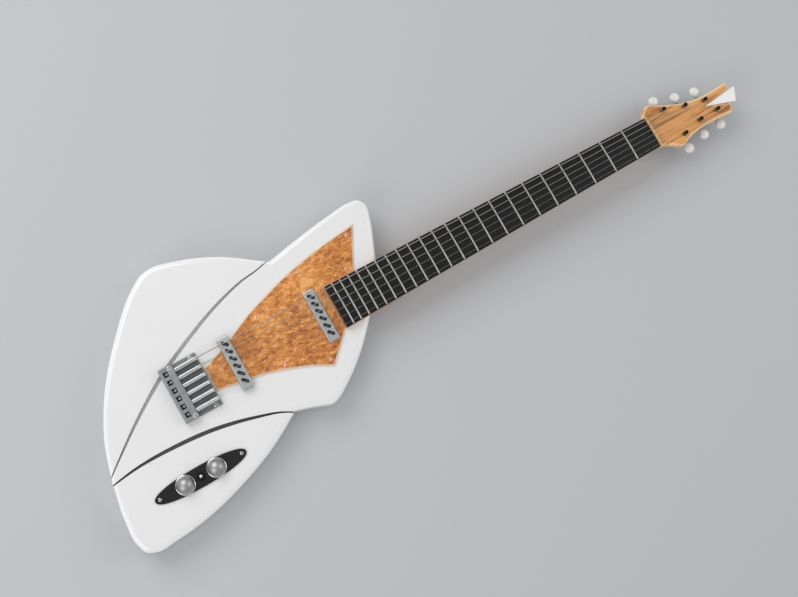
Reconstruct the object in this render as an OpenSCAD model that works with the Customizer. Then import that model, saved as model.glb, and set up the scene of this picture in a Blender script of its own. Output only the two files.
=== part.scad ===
// Electric guitar with a three-shard body and a forked head.
// It lies on its flat back. The origin is on the back, under the middle of the saddle line.
// +X runs along the strings to the head, +Y to the bass side, +Z up through the front.

/* [Body] */
// Thickness of the body, from its flat back to its flat front
body_t = 42; // [38:0.5:50]
// Length of the body, from the tail to the horn
body_l = 440; // [400:1:530]
// Width of the body, across the two wings
body_w = 302; // [252:1:363]
// Radius of the front edge
front_r = 7; // [3:0.5:8]
// Radius of the back edge
back_r = 4; // [2:0.5:6]
// Width of each groove at its widest
groove_w = 5; // [3:0.25:7]
// Width of each groove where it runs out at the edge
groove_end_w = 1; // [0.6:0.1:2]
// Depth of the grooves
groove_depth = 10; // [4:0.5:16]

/* [Neck] */
// String length, from the nut to the saddle line
scale_length = 648; // [530:1:780]
// Number of frets
fret_count = 22; // [20:1:24]
// Width of the neck at the nut
nut_w = 42; // [38:0.25:48]
// Width of the fingerboard at its body end
board_end_w = 57; // [52:0.25:62]
// Wood beyond the last fret
board_overhang = 9.3; // [6:0.1:12]
// Thickness of the fingerboard along its middle
board_t = 6; // [4.5:0.1:8]
// Radius of the fingerboard's crown
board_r = 305; // [180:5:500]
// Height of the fingerboard above the body's front
board_rise = 12; // [8:0.25:16]
// Thickness of the heel below the fingerboard
heel_t = 20; // [16:0.25:24]
// Length of the heel block
heel_l = 66; // [56:1:80]
// Depth of the neck's wood at the nut
neck_d_nut = 14; // [12:0.25:17]
// Depth of the neck's wood beside the heel
neck_d_heel = 17; // [14:0.25:20]
// Width of a fret's crown
fret_w = 2.4; // [1.8:0.1:3]
// Height of a fret's crown
fret_h = 1.1; // [0.8:0.05:1.5]
// Thickness of the nut along the strings
nut_t = 3; // [3:0.25:6]
// Radius of the truss rod
rod_r = 2.4; // [2:0.1:3.5]

/* [Head] */
// Thickness of the head
head_t = 14; // [12:0.5:17]
// Drop from the fingerboard's top to the head's face
head_drop = 9; // [7:0.25:12]
// Length of the fin along the fork
fin_l = 50; // [40:1:60]

/* [Tuners] */
// Radius of a string post
post_r = 2.6; // [2.5:0.1:3.6]
// Radius of a post's waist, where the string is wound
waist_r = 1.9; // [1.6:0.1:2.4]
// Distance from a post to the middle of its button
key_reach = 18; // [18:0.25:22]
// Radius of a button
button_r = 7; // [5:0.25:7]
// Half thickness of a button
button_half_t = 4; // [2.5:0.25:5]
// Distance from a post's axis to its worm's axis
worm_offset = 6.5; // [5.5:0.25:8]
// Radius of the worm
worm_r = 2; // [1.5:0.1:2.5]
// Radius of a key's shaft
key_shaft_r = 1.5; // [1.2:0.1:1.8]
// Height of a tuner housing
housing_h = 12.5; // [11:0.25:15]

/* [Pickups] */
// Width of a pickup cover along the strings
pickup_w = 15; // [12:0.5:18]
// Length of a pickup cover across the strings
pickup_l = 70; // [66:0.5:76]
// Height of a pickup cover
pickup_h = 6.2; // [5:0.1:8]
// Distance from the saddle line to the bridge pickup
bridge_pickup_x = 33.5; // [28:0.5:45]
// Distance from the end of the fingerboard to the neck pickup
neck_pickup_gap = 21; // [16:0.5:28]

/* [Pickguard] */
// Thickness of the pickguard
guard_t = 3; // [2:0.25:4]

/* [Bridge] */
// Distance between strings at the saddles
saddle_pitch = 10.8; // [10.2:0.1:11.2]
// Distance between strings at the nut
nut_pitch = 7.1; // [6.6:0.1:7.5]
// Width of a saddle
saddle_w = 5.8; // [5:0.1:7]
// Width of the bridge across the strings
bridge_w = 71; // [68:0.5:80]
// Height of the bridge's anchor block
block_h = 11; // [10:0.25:13]
// Height of a string above the fingerboard's plane at the saddle
saddle_rise = 3.6; // [3:0.1:5]
// Height of a string above the fingerboard's plane at the nut
nut_rise = 1.5; // [1.2:0.1:2.2]

/* [Controls] */
// Length of the control plate
plate_l = 120; // [110:1:140]
// Width of the control plate
plate_w = 25; // [24:0.5:32]
// Thickness of the control plate
plate_t = 2; // [1.5:0.25:3]
// Radius of a knob
knob_r = 12; // [9:0.25:12.5]
// Height of a knob
knob_h = 13; // [11:0.5:18]
// Distance from the middle of the control plate to a knob
knob_spread = 20.5; // [18:0.5:26]
// Radius of a pot's case
pot_r = 8; // [7:0.25:9]
// Radius of a pot's shaft
pot_shaft_r = 3; // [2.5:0.1:3.2]
// Radius of the jack's socket
jack_bore_r = 3.2; // [3.175:0.005:3.3]

/* [Fits] */
// Gap between parts that are fixed together
fit = 0.2; // [0.1:0.05:0.3]
// Radial gap of a shaft that turns in a hole
run_fit = 0.05; // [0.02:0.01:0.08]

/* [Hidden] */
$fn = 48;

// Heights
board_z = body_t + board_rise;
neck_z = board_z - board_t;
pocket_z = neck_z - heel_t;
head_z = board_z - head_drop;
head_back_z = head_z - head_t;
guard_z = body_t + guard_t;

// Places along the strings
function fret_x(n) = scale_length * pow(2, -n / 12);
neck_end = fret_x(fret_count) - board_overhang;
nut_x = scale_length;
neck_pickup_x = neck_end - neck_pickup_gap;

// Widths of the fingerboard and the neck
function board_half(x) = nut_w / 2 + (nut_x - x) * (board_end_w - nut_w) / 2 / (nut_x - neck_end);

// String 1 is the thin one on the -Y side
STRING_R = [0.13, 0.17, 0.22, 0.33, 0.46, 0.58];
function string_y(i, pitch) = (i - 3.5) * pitch;

// ---- Curves ----
// A smooth run through a few points, without its last point so that runs join end to end
function chord(p, i) = norm(p[i + 1] - p[i]);
function slope(p, i) =
    i == 0 ? (p[1] - p[0]) / chord(p, 0)
    : i == len(p) - 1 ? (p[i] - p[i - 1]) / chord(p, i - 1)
    : let (a = chord(p, i - 1), b = chord(p, i))
      (b * (p[i] - p[i - 1]) / a + a * (p[i + 1] - p[i]) / b) / (a + b);
function blend(a, b, ta, tb, h, t) =
    (2 * t ^ 3 - 3 * t ^ 2 + 1) * a + (t ^ 3 - 2 * t ^ 2 + t) * h * ta
    + (3 * t ^ 2 - 2 * t ^ 3) * b + (t ^ 3 - t ^ 2) * h * tb;
function run(p, step) = [
    for (i = [0 : len(p) - 2])
        let (h = chord(p, i), n = max(1, round(h / step)))
            for (k = [0 : n - 1])
                blend(p[i], p[i + 1], slope(p, i), slope(p, i + 1), h, k / n)
];
function smoothstep(t) = let (u = min(1, max(0, t))) u * u * (3 - 2 * u);

// An outline moved inwards by d along its corners' own directions
function inset(p, d) = [
    for (i = [0 : len(p) - 1])
        let (a = p[i] - p[(i + len(p) - 1) % len(p)], b = p[(i + 1) % len(p)] - p[i])
        let (na = [a.y, -a.x] / norm(a), nb = [b.y, -b.x] / norm(b))
            p[i] + d * (na + nb) / (1 + na * nb)
];

// ---- Body outline, clockwise from the tail, at the nominal length and width ----
nominal_l = 440;
nominal_w = 302;
function body_pts(p) = [for (q = p) [q.x * body_l / nominal_l, q.y * body_w / nominal_w]];
TAIL = [-158, -52];
UPPER_TIP = [130, 91];
LOWER_TIP = [69, -85.5];
UPPER_WING = [TAIL, [-147, -14], [-120, 40], [-72, 101], [-32, 139], [-14, 150], [2, 152.5], [25, 147.5],
    [75, 128], UPPER_TIP];
BLADE_TOP = [UPPER_TIP, [175, 99.5], [225, 107], [252, 109.3], [266, 106.5], [272, 96], [269, 81], [256, 48],
    [247, 27]];
BLADE_BOTTOM = [[208, -27], [175, -61], [140, -88], [124, -97.5], [114, -100.5], [103, -97], [88, -91.5],
    LOWER_TIP];
LOWER_WING = [LOWER_TIP, [25, -110], [-25, -129.5], [-75, -143], [-125, -149], [-149, -149.5], [-161, -144],
    [-167, -130], [-166.5, -100], TAIL];
OUTLINE = body_pts(concat(run(UPPER_WING, 9), run(BLADE_TOP, 9), run(BLADE_BOTTOM, 9), run(LOWER_WING, 9)));

// Centre lines of the two grooves, a little past the outline at both ends
UPPER_GROOVE = body_pts(run([[-168, -57], [-138, -33], [-100, -4], [-52, 27.5], [0, 53.5], [50, 74],
    [87, 84.5], [118, 89.3], [132, 94], [140, 104]], 12));
LOWER_GROOVE = body_pts(run([[-172, -58.5], [-125, -52], [-75, -52], [-25, -57], [25, -69], [58, -81],
    [70, -89], [76, -99]], 12));

// A band along a centre line, wide in the middle and narrow at its ends
function normal_at(p, i) =
    let (a = p[max(0, i - 1)], b = p[min(len(p) - 1, i + 1)], d = (b - a) / norm(b - a)) [-d.y, d.x];
function half_width(t, w) = (groove_end_w + (w - groove_end_w) * sin(180 * t)) / 2;
function band(p, w) = let (n = len(p) - 1) concat(
    [for (i = [0 : n]) p[i] + normal_at(p, i) * half_width(i / n, w)],
    [for (i = [n : -1 : 0]) p[i] - normal_at(p, i) * half_width(i / n, w)]
);

// ---- Shared shapes ----
// Solid through a stack of outlines with the same number of points, lowest first, clockwise seen from above
module stack(rings) {
    m = len(rings[0]);
    top = len(rings) - 1;
    polyhedron(
        points = [for (r = rings) each r],
        faces = concat(
            [[for (i = [m - 1 : -1 : 0]) i]],
            [for (k = [0 : top - 1]) for (i = [0 : m - 1])
                let (a = k * m + i, b = k * m + (i + 1) % m) each [[a, b, a + m], [b, b + m, a + m]]],
            [[for (i = [0 : m - 1]) top * m + i]]
        )
    );
}

// Round bar from one point to another
module bar(a, b, r, fn = 24) {
    d = b - a;
    translate(a)
        rotate([0, acos(d.z / norm(d)), atan2(d.y, d.x)])
            cylinder(h = norm(d), r = r, $fn = fn);
}

// Wire of radius r through a list of points; ref is a direction that it never runs along
function unit(v) = v / norm(v);
function tangent(p, i) =
    unit((i == 0 ? [0, 0, 0] : unit(p[i] - p[i - 1]))
        + (i == len(p) - 1 ? [0, 0, 0] : unit(p[i + 1] - p[i])));
module wire(p, r, ref) {
    stack([
        for (i = [0 : len(p) - 1])
            let (t = tangent(p, i), side = unit(cross(t, ref)), up = cross(side, t))
                [for (k = [0 : 7]) p[i] + r * (side * cos(45 * k) + up * sin(45 * k))]
    ]);
}

// Box with round upright edges
module round_box(size, r) {
    translate([r, 0, 0]) cube([size.x - 2 * r, size.y, size.z]);
    translate([0, r, 0]) cube([size.x, size.y - 2 * r, size.z]);
    for (x = [r, size.x - r], y = [r, size.y - r]) translate([x, y, 0]) cylinder(h = size.z, r = r, $fn = 24);
}

// Countersunk screw with its head's top at the origin
module screw(head_r, shank_r, length) {
    translate([0, 0, -head_r + shank_r]) cylinder(h = head_r - shank_r, r1 = shank_r, r2 = head_r, $fn = 24);
    translate([0, 0, -length]) cylinder(h = length - head_r + shank_r, r = shank_r, $fn = 24);
}

// Head radius, shank radius and length of the plates' screws, the guard's and the bridge's
small_head_r = 2.2;
small_shank_r = 1.2;
small_l = 12;
guard_head_r = 2.4;
guard_shank_r = 1.2;
guard_screw_l = 14;
bridge_head_r = 2.8;
bridge_shank_r = 1.4;

// Hole for that screw, a fit larger all round
module screw_hole(head_r, shank_r, length) {
    translate([0, 0, fit / 2]) screw(head_r + fit, shank_r + fit, length + 2 * fit);
    cylinder(h = 5, r = head_r + fit, $fn = 24);
}

// ---- Neck and heel ----
heel_end = neck_end + heel_l;
heel_gap = fit;
rod_nut_r = 4.2;
rod_z = neck_z - rod_nut_r - fit;
module heel_plan(gap, x1) {
    polygon([
        [neck_end - gap, -board_half(neck_end) - gap], [x1, -board_half(x1) - gap],
        [x1, board_half(x1) + gap], [neck_end - gap, board_half(neck_end) + gap]
    ]);
}

// ---- Bolts through the neck plate ----
neck_plate_l = 28;
neck_plate_w = 50;
neck_plate_t = 1.8;
neck_plate_x = neck_end + 3;
bolt_r = 2.3;
bolt_head_r = 4.3;
bolt_tip_z = neck_z - 3;
BOLTS = [for (x = [6, neck_plate_l - 6], y = [-1, 1]) [neck_plate_x + x, y * (neck_plate_w / 2 - 6)]];

// ---- Bridge ----
block_x0 = -51;
well_x0 = block_x0 + 3.5;
well_l = 6.5;
block_x1 = -33;
base_t = 2;
base_x1 = -2.2;
well_w = 6.5;
well_floor_z = body_t + 1.2;
trough_w = 5 * saddle_pitch + 12;
trough_depth = 1.6;
anchor_x = well_x0 + well_l - 2.1;
anchor_z = body_t + 8.3;
crest_x = -4;
crest_z = board_z + saddle_rise;
saddle_x0 = block_x1 + fit;
saddle_x1 = -2.5;
saddle_z0 = body_t + base_t + fit;
intonation_z = body_t + 4;
intonation_r = 1.25;
screw_inset = 3.2;
BRIDGE_SCREWS = [for (x = [-37, -10], y = [-1, 1]) [x, y * (bridge_w / 2 - screw_inset)]];
function screw_seat(x) = body_t + (x < block_x1 ? block_h : base_t);
height_screw_x = -14;
height_screw_r = 1.5;

// Height of string i at x between its anchor and its nut slot
nut_z = board_z + nut_rise;
function string_z(x) =
    x < crest_x ? anchor_z + (crest_z - anchor_z) * (x - anchor_x) / (crest_x - anchor_x)
    : crest_z + (nut_z - crest_z) * (x - crest_x) / (nut_x - crest_x);

// ---- Pickups ----
cover_wall = 0.8;
coil_h = pickup_h - cover_wall - fit;
slot_pitch = 10;
slot_l = 8.6;
slot_w = 3;
slot_turn = -45;
slot_shift = [0.3, 0.6];
magnet_l = 58;
magnet_w = 4;
magnet_h = 3.4;
magnet_rise = 0.5;
lead_inset = 19;
lead_lift = 1.2;
lead_side = 1.4;
lead_r = 0.8;
channel_r = 3;
channel_z = body_t - 22;

// ---- Controls ----
control_x = -65.5 * body_l / nominal_l;
control_y = -97.5 * body_w / nominal_w;
plate_power = 2.2;
PLATE_SCREWS = [for (x = [-1, 1]) [control_x + x * (plate_l / 2 - 6), control_y]];
cavity_l = 92;
cavity_w = 20;
cavity_depth = 30;
plate_z = body_t + plate_t;
bushing_r = 3.4;
nut_flat_r = 5.6;
nut_h = 1.8;
pot_h = 9;
pot_z = body_t - fit - pot_h;
volume_x = control_x + knob_spread;
tone_x = control_x - knob_spread;
knob_z = plate_z + 0.4;
skirt_h = 1.9;
skirt_w = 0.9;
dome_z = 2.6;
shaft_z = pot_z + 2;
shaft_top_z = knob_z + knob_h - 3;
switch_bore_r = 2.6;
switch_bushing_r = 3.6;
switch_pivot_z = body_t + 1;
lever_ball_r = switch_bore_r - run_fit;

// ---- Edge fittings: a place on the outline, its outward direction and a turn to it ----
function edge_near(q) =
    let (d = [for (p = OUTLINE) norm(p - q)], m = min(d)) [for (i = [0 : len(d) - 1]) if (d[i] == m) i][0];
module at_edge(i, z) {
    n = len(OUTLINE);
    a = OUTLINE[i];
    b = OUTLINE[(i + 1) % n];
    d = (b - a) / norm(b - a);
    translate([(a.x + b.x) / 2, (a.y + b.y) / 2, z])
        rotate([0, 0, atan2(d.x, -d.y)])
            rotate([0, 90, 0]) children();
}
edge_z = body_t / 2;
TAIL_SOCKET = edge_near(body_pts([[-142, -5]])[0]);
HORN_SOCKET = edge_near(body_pts([[240, 108.5]])[0]);
cup_r = 6;
cup_bore_r = 4.05;
cup_depth = 14;
cup_flange_r = 8;
cup_flange_t = 1.5;
jack_y = -112 * body_w / nominal_w;
jack_x = -166.8 * body_l / nominal_l;
jack_plate_t = 2;
jack_plate_l = 36;
jack_plate_w = 22;
jack_case_r = 7;
jack_nose_r = 5;
jack_l = 30;
jack_floor_x = jack_x + 2.6;
jack_screw_y = jack_plate_l / 2 - 4.5;

// ---- Head ----
// Outline from the nut round the bass side, the fork and the treble side, at the nut's own distance
HEAD = concat(
    [[649, nut_w / 2], [652, 25]],
    run([[657, 31], [661, 33.6], [665, 34.8], [669, 34]], 2),
    run([[669, 34], [681, 28.2], [700, 19.5], [715, 14.6], [735, 11.6], [760, 11.2], [781, 12.5]], 8),
    [[781, 12.5], [778, 2], [734, -2.6], [772, -14.2]],
    run([[772, -14.2], [767, -26.8]], 20),
    run([[767, -26.8], [748, -25.2], [725, -24.6], [706, -26.8], [691, -31], [684, -34.5]], 8),
    run([[684, -34.5], [677, -33], [668, -26.5], [660, -23], [649, -nut_w / 2]], 4),
    [[649, -nut_w / 2]]
);
head_shift = nut_x - 648;
FORK = [734 + head_shift, -2.6];
fork_up = 4.6 / 44;
fork_down = 11.6 / 38;
fin_gap = 0.3;
fin_x = 4;
fin_cut = 9;
fin_low = 1.5;
fin_rise = 0.5;

// Post places for strings 1 to 6: treble side from the nut outwards, then bass side from the far end
POSTS = [for (p = [[690.5, -21.5], [719.5, -15], [748, -14], [739, 5], [710, 11], [680.5, 20]])
    [p.x + head_shift, p.y]];
function side(i) = i <= 3 ? -1 : 1;
key_z = head_back_z - 7.5;
bushing_out_r = post_r + 1.6;
gear_r = worm_offset - worm_r - 0.25;
gear_t = 5;
teeth = 14;
bushing_top_z = head_z - 2.4;
waist_z = head_z + 1.8;
waist_h = 4.6;
wraps = 2;
post_foot_r = 1.5;

// ======== Modules, one per piece ========
// Rounded edges as [inset, height] pairs; the first and the last lie past the flats, which trim them
EDGE = concat(
    [[0.9 * back_r, -1], [0.29 * back_r, 0.29 * back_r], [0, back_r]],
    [for (a = [0 : 22.5 : 67.5]) [front_r * (1 - cos(a)), body_t - front_r * (1 - sin(a))]],
    [[0.8 * front_r, body_t + 1]]
);
module body_blank() {
    difference() {
        stack([for (e = EDGE) [for (p = inset(OUTLINE, e.x)) [p.x, p.y, e.y]]]);
        translate([-body_l, -body_w, body_t]) cube([3 * body_l, 2 * body_w, 20]);
        translate([-body_l, -body_w, -20]) cube([3 * body_l, 2 * body_w, 20]);
    }
}

module body() {
    color("white")
    difference() {
        body_blank();
        for (line = [UPPER_GROOVE, LOWER_GROOVE])
            translate([0, 0, body_t - groove_depth])
                linear_extrude(groove_depth + 1) polygon(band(line, groove_w));
        translate([0, 0, pocket_z]) linear_extrude(body_t) heel_plan(heel_gap, heel_end + 60);
        translate([neck_plate_x - fit, -neck_plate_w / 2 - fit, -1])
            cube([neck_plate_l + 2 * fit, neck_plate_w + 2 * fit, neck_plate_t + 1 + fit / 2]);
        for (b = BOLTS) translate([b.x, b.y, 1]) cylinder(h = pocket_z, r = bolt_r + 2 * fit);
        control_cavity();
        for (q = PLATE_SCREWS) translate([q.x, q.y, plate_z])
            screw_hole(small_head_r, small_shank_r, small_l);
        jack_bore();
        for (s = [TAIL_SOCKET, HORN_SOCKET]) at_edge(s, edge_z) {
            translate([0, 0, -cup_depth - fit]) cylinder(h = 60, r = cup_r + fit);
            translate([0, 0, -cup_flange_t - 0.4]) cylinder(h = 20, r = cup_flange_r + fit);
        }
        for (b = BRIDGE_SCREWS) translate([b.x, b.y, body_t - 22])
            cylinder(h = 30, r = bridge_shank_r + fit, $fn = 24);
        for (g = GUARD_SCREWS) translate([g.x, g.y, guard_z])
            screw_hole(guard_head_r, guard_shank_r, guard_screw_l);
        lead_channels();
    }
}

module control_cavity() {
    translate([control_x, control_y, body_t - cavity_depth]) {
        translate([-cavity_l / 2 + cavity_w / 2, -cavity_w / 2, 0])
            cube([cavity_l - cavity_w, cavity_w, body_t]);
        for (x = [-1, 1]) translate([x * (cavity_l - cavity_w) / 2, 0, 0])
            cylinder(h = body_t, r = cavity_w / 2);
    }
}

module jack_bore() {
    translate([jack_floor_x, jack_y, edge_z]) {
        translate([-20, -jack_plate_l / 2 - fit, -jack_plate_w / 2 - fit])
            cube([20, jack_plate_l + 2 * fit, jack_plate_w + 2 * fit]);
        rotate([0, 90, 0]) cylinder(h = jack_l + 2, r = jack_case_r + fit);
        for (y = [-1, 1]) translate([0, y * jack_screw_y, 0]) rotate([0, 90, 0])
            cylinder(h = small_l - 1, r = small_shank_r + fit, $fn = 24);
    }
    bar([jack_floor_x + jack_l + 1, jack_y, edge_z], [control_x - cavity_l / 2 + 8, control_y, edge_z],
        channel_r);
}

// Channels for the leads: down from each pickup, then along to the control cavity
function lead_down(x) = [x, -pickup_l / 2 + lead_inset, channel_z];
module lead_channels() {
    a = lead_down(bridge_pickup_x);
    b = lead_down(neck_pickup_x);
    for (p = [a, b]) translate(p - [0, 0, 4]) cylinder(h = body_t, r = channel_r + 0.4);
    bar(b, a, channel_r);
    bar(a, [control_x + cavity_l / 2 - 6, control_y, channel_z], channel_r);
}

// Half-round neck profile at x, from the flat under the fingerboard down
function neck_depth(x) =
    let (from = neck_d_heel + (neck_d_nut - neck_d_heel) * (x - heel_end) / (nut_x - heel_end))
    let (heel = smoothstep((heel_end + 34 - x) / 34), head = smoothstep((x - nut_x + 26) / 26))
        from + (heel_t - from) * heel + (neck_z - head_back_z - from) * head;
function neck_power(x) =
    2.2 + 6 * smoothstep((heel_end + 26 - x) / 30) + 5 * smoothstep((x - nut_x + 14) / 16);
function power(v, e) = sign(v) * pow(abs(v), e);
function neck_ring(x) = let (e = 2 / neck_power(x), n = 16) [
    for (k = [0 : n]) let (a = 180 * k / n)
        [x, board_half(min(x, nut_x)) * power(cos(a), e), neck_z - neck_depth(x) * power(sin(a), e)]
];
NECK_X = concat(
    [for (k = [0 : 5]) heel_end - 4 + k * 8],
    [for (k = [1 : 6]) heel_end + 36 + k * (nut_x - heel_end - 66) / 6],
    [for (k = [1 : 5]) nut_x - 30 + k * 6.7]
);

module neck() {
    color("burlywood")
    difference() {
        union() {
            stack([for (x = NECK_X) neck_ring(x)]);
            translate([0, 0, pocket_z]) linear_extrude(heel_t) heel_plan(0, heel_end);
            translate([0, 0, head_back_z]) linear_extrude(head_t)
                polygon([for (p = HEAD) [p.x + head_shift, p.y]]);
        }
        // Slot for the truss rod, and a wider pocket for its nut
        translate([neck_end - 1, -rod_r - fit, rod_z - rod_r - fit])
            cube([nut_x - 30 - neck_end, 2 * rod_r + 2 * fit, 20]);
        translate([neck_end - 1, -rod_nut_r - fit, rod_z - rod_nut_r - fit])
            cube([12, 2 * rod_nut_r + 2 * fit, 20]);
        for (b = BOLTS) translate([b.x, b.y, 0]) cylinder(h = bolt_tip_z + fit, r = bolt_r + fit / 2);
        for (p = POSTS) translate([p.x, p.y, 0]) {
            cylinder(h = bushing_top_z, r = bushing_out_r + fit / 2);
            cylinder(h = head_z + 1, r = post_r + 0.3);
        }
    }
}

module head_fin() {
    x1 = fin_x + fin_l;
    x2 = x1 - fin_cut;
    color("whitesmoke")
    translate([FORK.x, FORK.y, head_back_z + fin_low])
        linear_extrude(head_t - fin_low + fin_rise)
            polygon([
                [fin_x, fin_x * fork_up - fin_gap], [x1, x1 * fork_up - fin_gap],
                [x2, -x2 * fork_down + fin_gap], [fin_x, -fin_x * fork_down + fin_gap]
            ]);
}

module fingerboard() {
    color([0.08, 0.08, 0.09])
    difference() {
        intersection() {
            translate([0, 0, neck_z]) linear_extrude(board_t + 1) heel_plan(0, nut_x);
            translate([0, 0, board_z - board_r]) rotate([0, 90, 0])
                cylinder(h = 2 * nut_x, r = board_r, $fn = 360);
        }
        for (n = [1 : fret_count]) translate([fret_x(n) - 0.3, -50, board_z - 2.6]) cube([0.6, 100, 10]);
    }
}

module frets() {
    color("silver")
    for (n = [1 : fret_count])
        let (x = fret_x(n), w = 2 * board_half(x) - 0.6) {
            intersection() {
                translate([x - fret_w / 2, 0, board_z - board_r]) rotate([0, 90, 0])
                    difference() {
                        cylinder(h = fret_w, r = board_r + fret_h, $fn = 360);
                        translate([0, 0, -1]) cylinder(h = fret_w + 2, r = board_r + 0.03, $fn = 360);
                    }
                translate([x - 5, -w / 2, board_z - 8]) cube([10, w, 20]);
            }
            // Tang in its slot
            intersection() {
                translate([x - 0.25, -w / 2, board_z - 2.5]) cube([0.5, w, 20]);
                translate([x - 1, 0, board_z - board_r]) rotate([0, 90, 0])
                    cylinder(h = 2, r = board_r + 0.3, $fn = 360);
            }
        }
}

module nut() {
    color("ivory")
    difference() {
        translate([nut_x, -nut_w / 2, neck_z]) cube([nut_t, nut_w, nut_z - neck_z + 0.5]);
        for (i = [1 : 6]) let (r = STRING_R[i - 1] + 0.06)
            translate([nut_x - 1, string_y(i, nut_pitch), nut_z]) {
                rotate([0, 90, 0]) cylinder(h = nut_t + 2, r = r, $fn = 24);
                translate([0, -r, 0]) cube([nut_t + 2, 2 * r, 5]);
            }
    }
}

module truss_rod() {
    color("dimgray")
    translate([neck_end + 1, 0, rod_z]) rotate([0, 90, 0]) {
        translate([0, 0, 1]) cylinder(h = nut_x - 34 - neck_end, r = rod_r, $fn = 24);
        cylinder(h = 8, r = rod_nut_r, $fn = 6);
    }
}

module neck_plate() {
    color("silver")
    translate([neck_plate_x, -neck_plate_w / 2, 0.1])
    difference() {
        round_box([neck_plate_l, neck_plate_w, neck_plate_t - 0.1], 3);
        for (b = BOLTS) translate([b.x - neck_plate_x, b.y + neck_plate_w / 2, 0.1]) mirror([0, 0, 1])
            screw_hole(bolt_head_r, bolt_r, 10);
    }
}

module neck_bolts() {
    color("silver")
    for (b = BOLTS) translate([b.x, b.y, 0.2]) mirror([0, 0, 1]) screw(bolt_head_r, bolt_r, bolt_tip_z - 0.2);
}

// ---- Pickguard ----
guard_k = neck_end / 172.5;
GUARD_TOP = [[22, 21.8], [50, 33.8], [75, 45], [100, 53.6], [137, 65], [175, 73], [215, 78.8], [243.8, 81.8]];
GUARD_BOTTOM = [[136, -61.3], [112.5, -48.8], [82.5, -37], [50, -27.5], [22, -22.5]];
GUARD_SCREWS = [for (p = [[229, 73], [208.5, 36.5], [154.5, 61.5], [82.5, 37.5], [136, -52], [85, -31]])
    [p.x * guard_k, p.y]];
function guard_pts(p) = [for (q = p) [q.x * guard_k, q.y]];
board_gap = 0.5;
// The guard passes round the end of the fingerboard and stops short of the bridge
GUARD = concat(
    [[-1.6, -19], [-1.6, 12.6]],
    guard_pts(run(GUARD_TOP, 15)),
    guard_pts([[243.8, 81.8]]),
    [[215 * guard_k, board_half(215 * guard_k) + board_gap],
     [neck_end - board_gap, board_half(neck_end) + board_gap],
     [neck_end - board_gap, -board_half(neck_end) + 1]],
    guard_pts([[138, -60.5]]),
    guard_pts(run(GUARD_BOTTOM, 15)),
    guard_pts([[22, -22.5]])
);

module pickguard() {
    color("peru")
    difference() {
        translate([0, 0, body_t]) linear_extrude(guard_t) polygon(GUARD);
        for (g = GUARD_SCREWS) translate([g.x, g.y, guard_z])
            screw_hole(guard_head_r, guard_shank_r, guard_screw_l);
        for (x = [bridge_pickup_x, neck_pickup_x]) translate([lead_down(x).x, lead_down(x).y, 0])
            cylinder(h = 100, r = 1.6, $fn = 24);
    }
}

module pickguard_screws() {
    color("rosybrown")
    for (g = GUARD_SCREWS) translate([g.x, g.y, guard_z]) screw(guard_head_r, guard_shank_r, guard_screw_l);
}

module pickup_cover() {
    difference() {
        translate([-pickup_w / 2, -pickup_l / 2, guard_z]) round_box([pickup_w, pickup_l, pickup_h], 1.5);
        translate([-pickup_w / 2 + cover_wall, -pickup_l / 2 + cover_wall, guard_z - 1])
            cube([pickup_w - 2 * cover_wall, pickup_l - 2 * cover_wall, pickup_h - cover_wall + 1]);
        for (i = [0 : 5])
            translate([slot_shift.x, (i - 2.5) * slot_pitch + slot_shift.y, guard_z + pickup_h - 2])
                rotate([0, 0, slot_turn])
                    translate([-slot_l / 2, -slot_w / 2, 0]) cube([slot_l, slot_w, 3]);
    }
}

module pickup_coil() {
    difference() {
        translate([-pickup_w / 2 + cover_wall + fit, -pickup_l / 2 + cover_wall + fit, guard_z])
            round_box([pickup_w - 2 * cover_wall - 2 * fit, pickup_l - 2 * cover_wall - 2 * fit, coil_h], 1);
        translate([-magnet_w / 2, -magnet_l / 2, guard_z - 1])
            cube([magnet_w, magnet_l, magnet_h + magnet_rise + 1.1]);
    }
}

module neck_pickup_cover() { color("silver") translate([neck_pickup_x, 0, 0]) pickup_cover(); }
module neck_pickup_coil() { color("black") translate([neck_pickup_x, 0, 0]) pickup_coil(); }
module bridge_pickup_cover() { color("silver") translate([bridge_pickup_x, 0, 0]) pickup_cover(); }
module bridge_pickup_coil() { color("black") translate([bridge_pickup_x, 0, 0]) pickup_coil(); }

module pickup_magnets() {
    color("dimgray")
    for (x = [neck_pickup_x, bridge_pickup_x])
        translate([x - (magnet_w - fit) / 2, -(magnet_l - fit) / 2, guard_z + magnet_rise])
            cube([magnet_w - fit, magnet_l - fit, magnet_h]);
}

module pickup_leads() {
    color("darkgreen")
    for (x = [neck_pickup_x, bridge_pickup_x])
        let (p = lead_down(x), q = x == neck_pickup_x ? -1 : 1, z = channel_z + lead_lift * q)
        let (end = [control_x + cavity_l / 2 - 6, control_y + lead_side * q])
        let (next = q < 0 ? [bridge_pickup_x, p.y] : end)
        let (bend = [p.x, p.y] + 2 * unit(next - [p.x, p.y]))
            wire(concat(
                [[p.x, p.y, guard_z - 0.2], [p.x, p.y, z + 2], [bend.x, bend.y, z]],
                q < 0 ? [[next.x, next.y, z]] : [],
                [[end.x, end.y, z], [volume_x + pot_r + 0.3 + lead_r, end.y, pot_z + 4]]
            ), lead_r, [0, 1, 0]);
}

module jack_lead() {
    color("darkgreen")
    wire([
        [jack_floor_x + jack_l + 0.2, jack_y, edge_z], [jack_floor_x + jack_l + 1.2, jack_y, edge_z],
        [control_x - cavity_l / 2 + 7, control_y, edge_z],
        [tone_x - pot_r - 0.3 - lead_r, control_y, pot_z + 4]
    ], lead_r, [0, 1, 0]);
}

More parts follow.
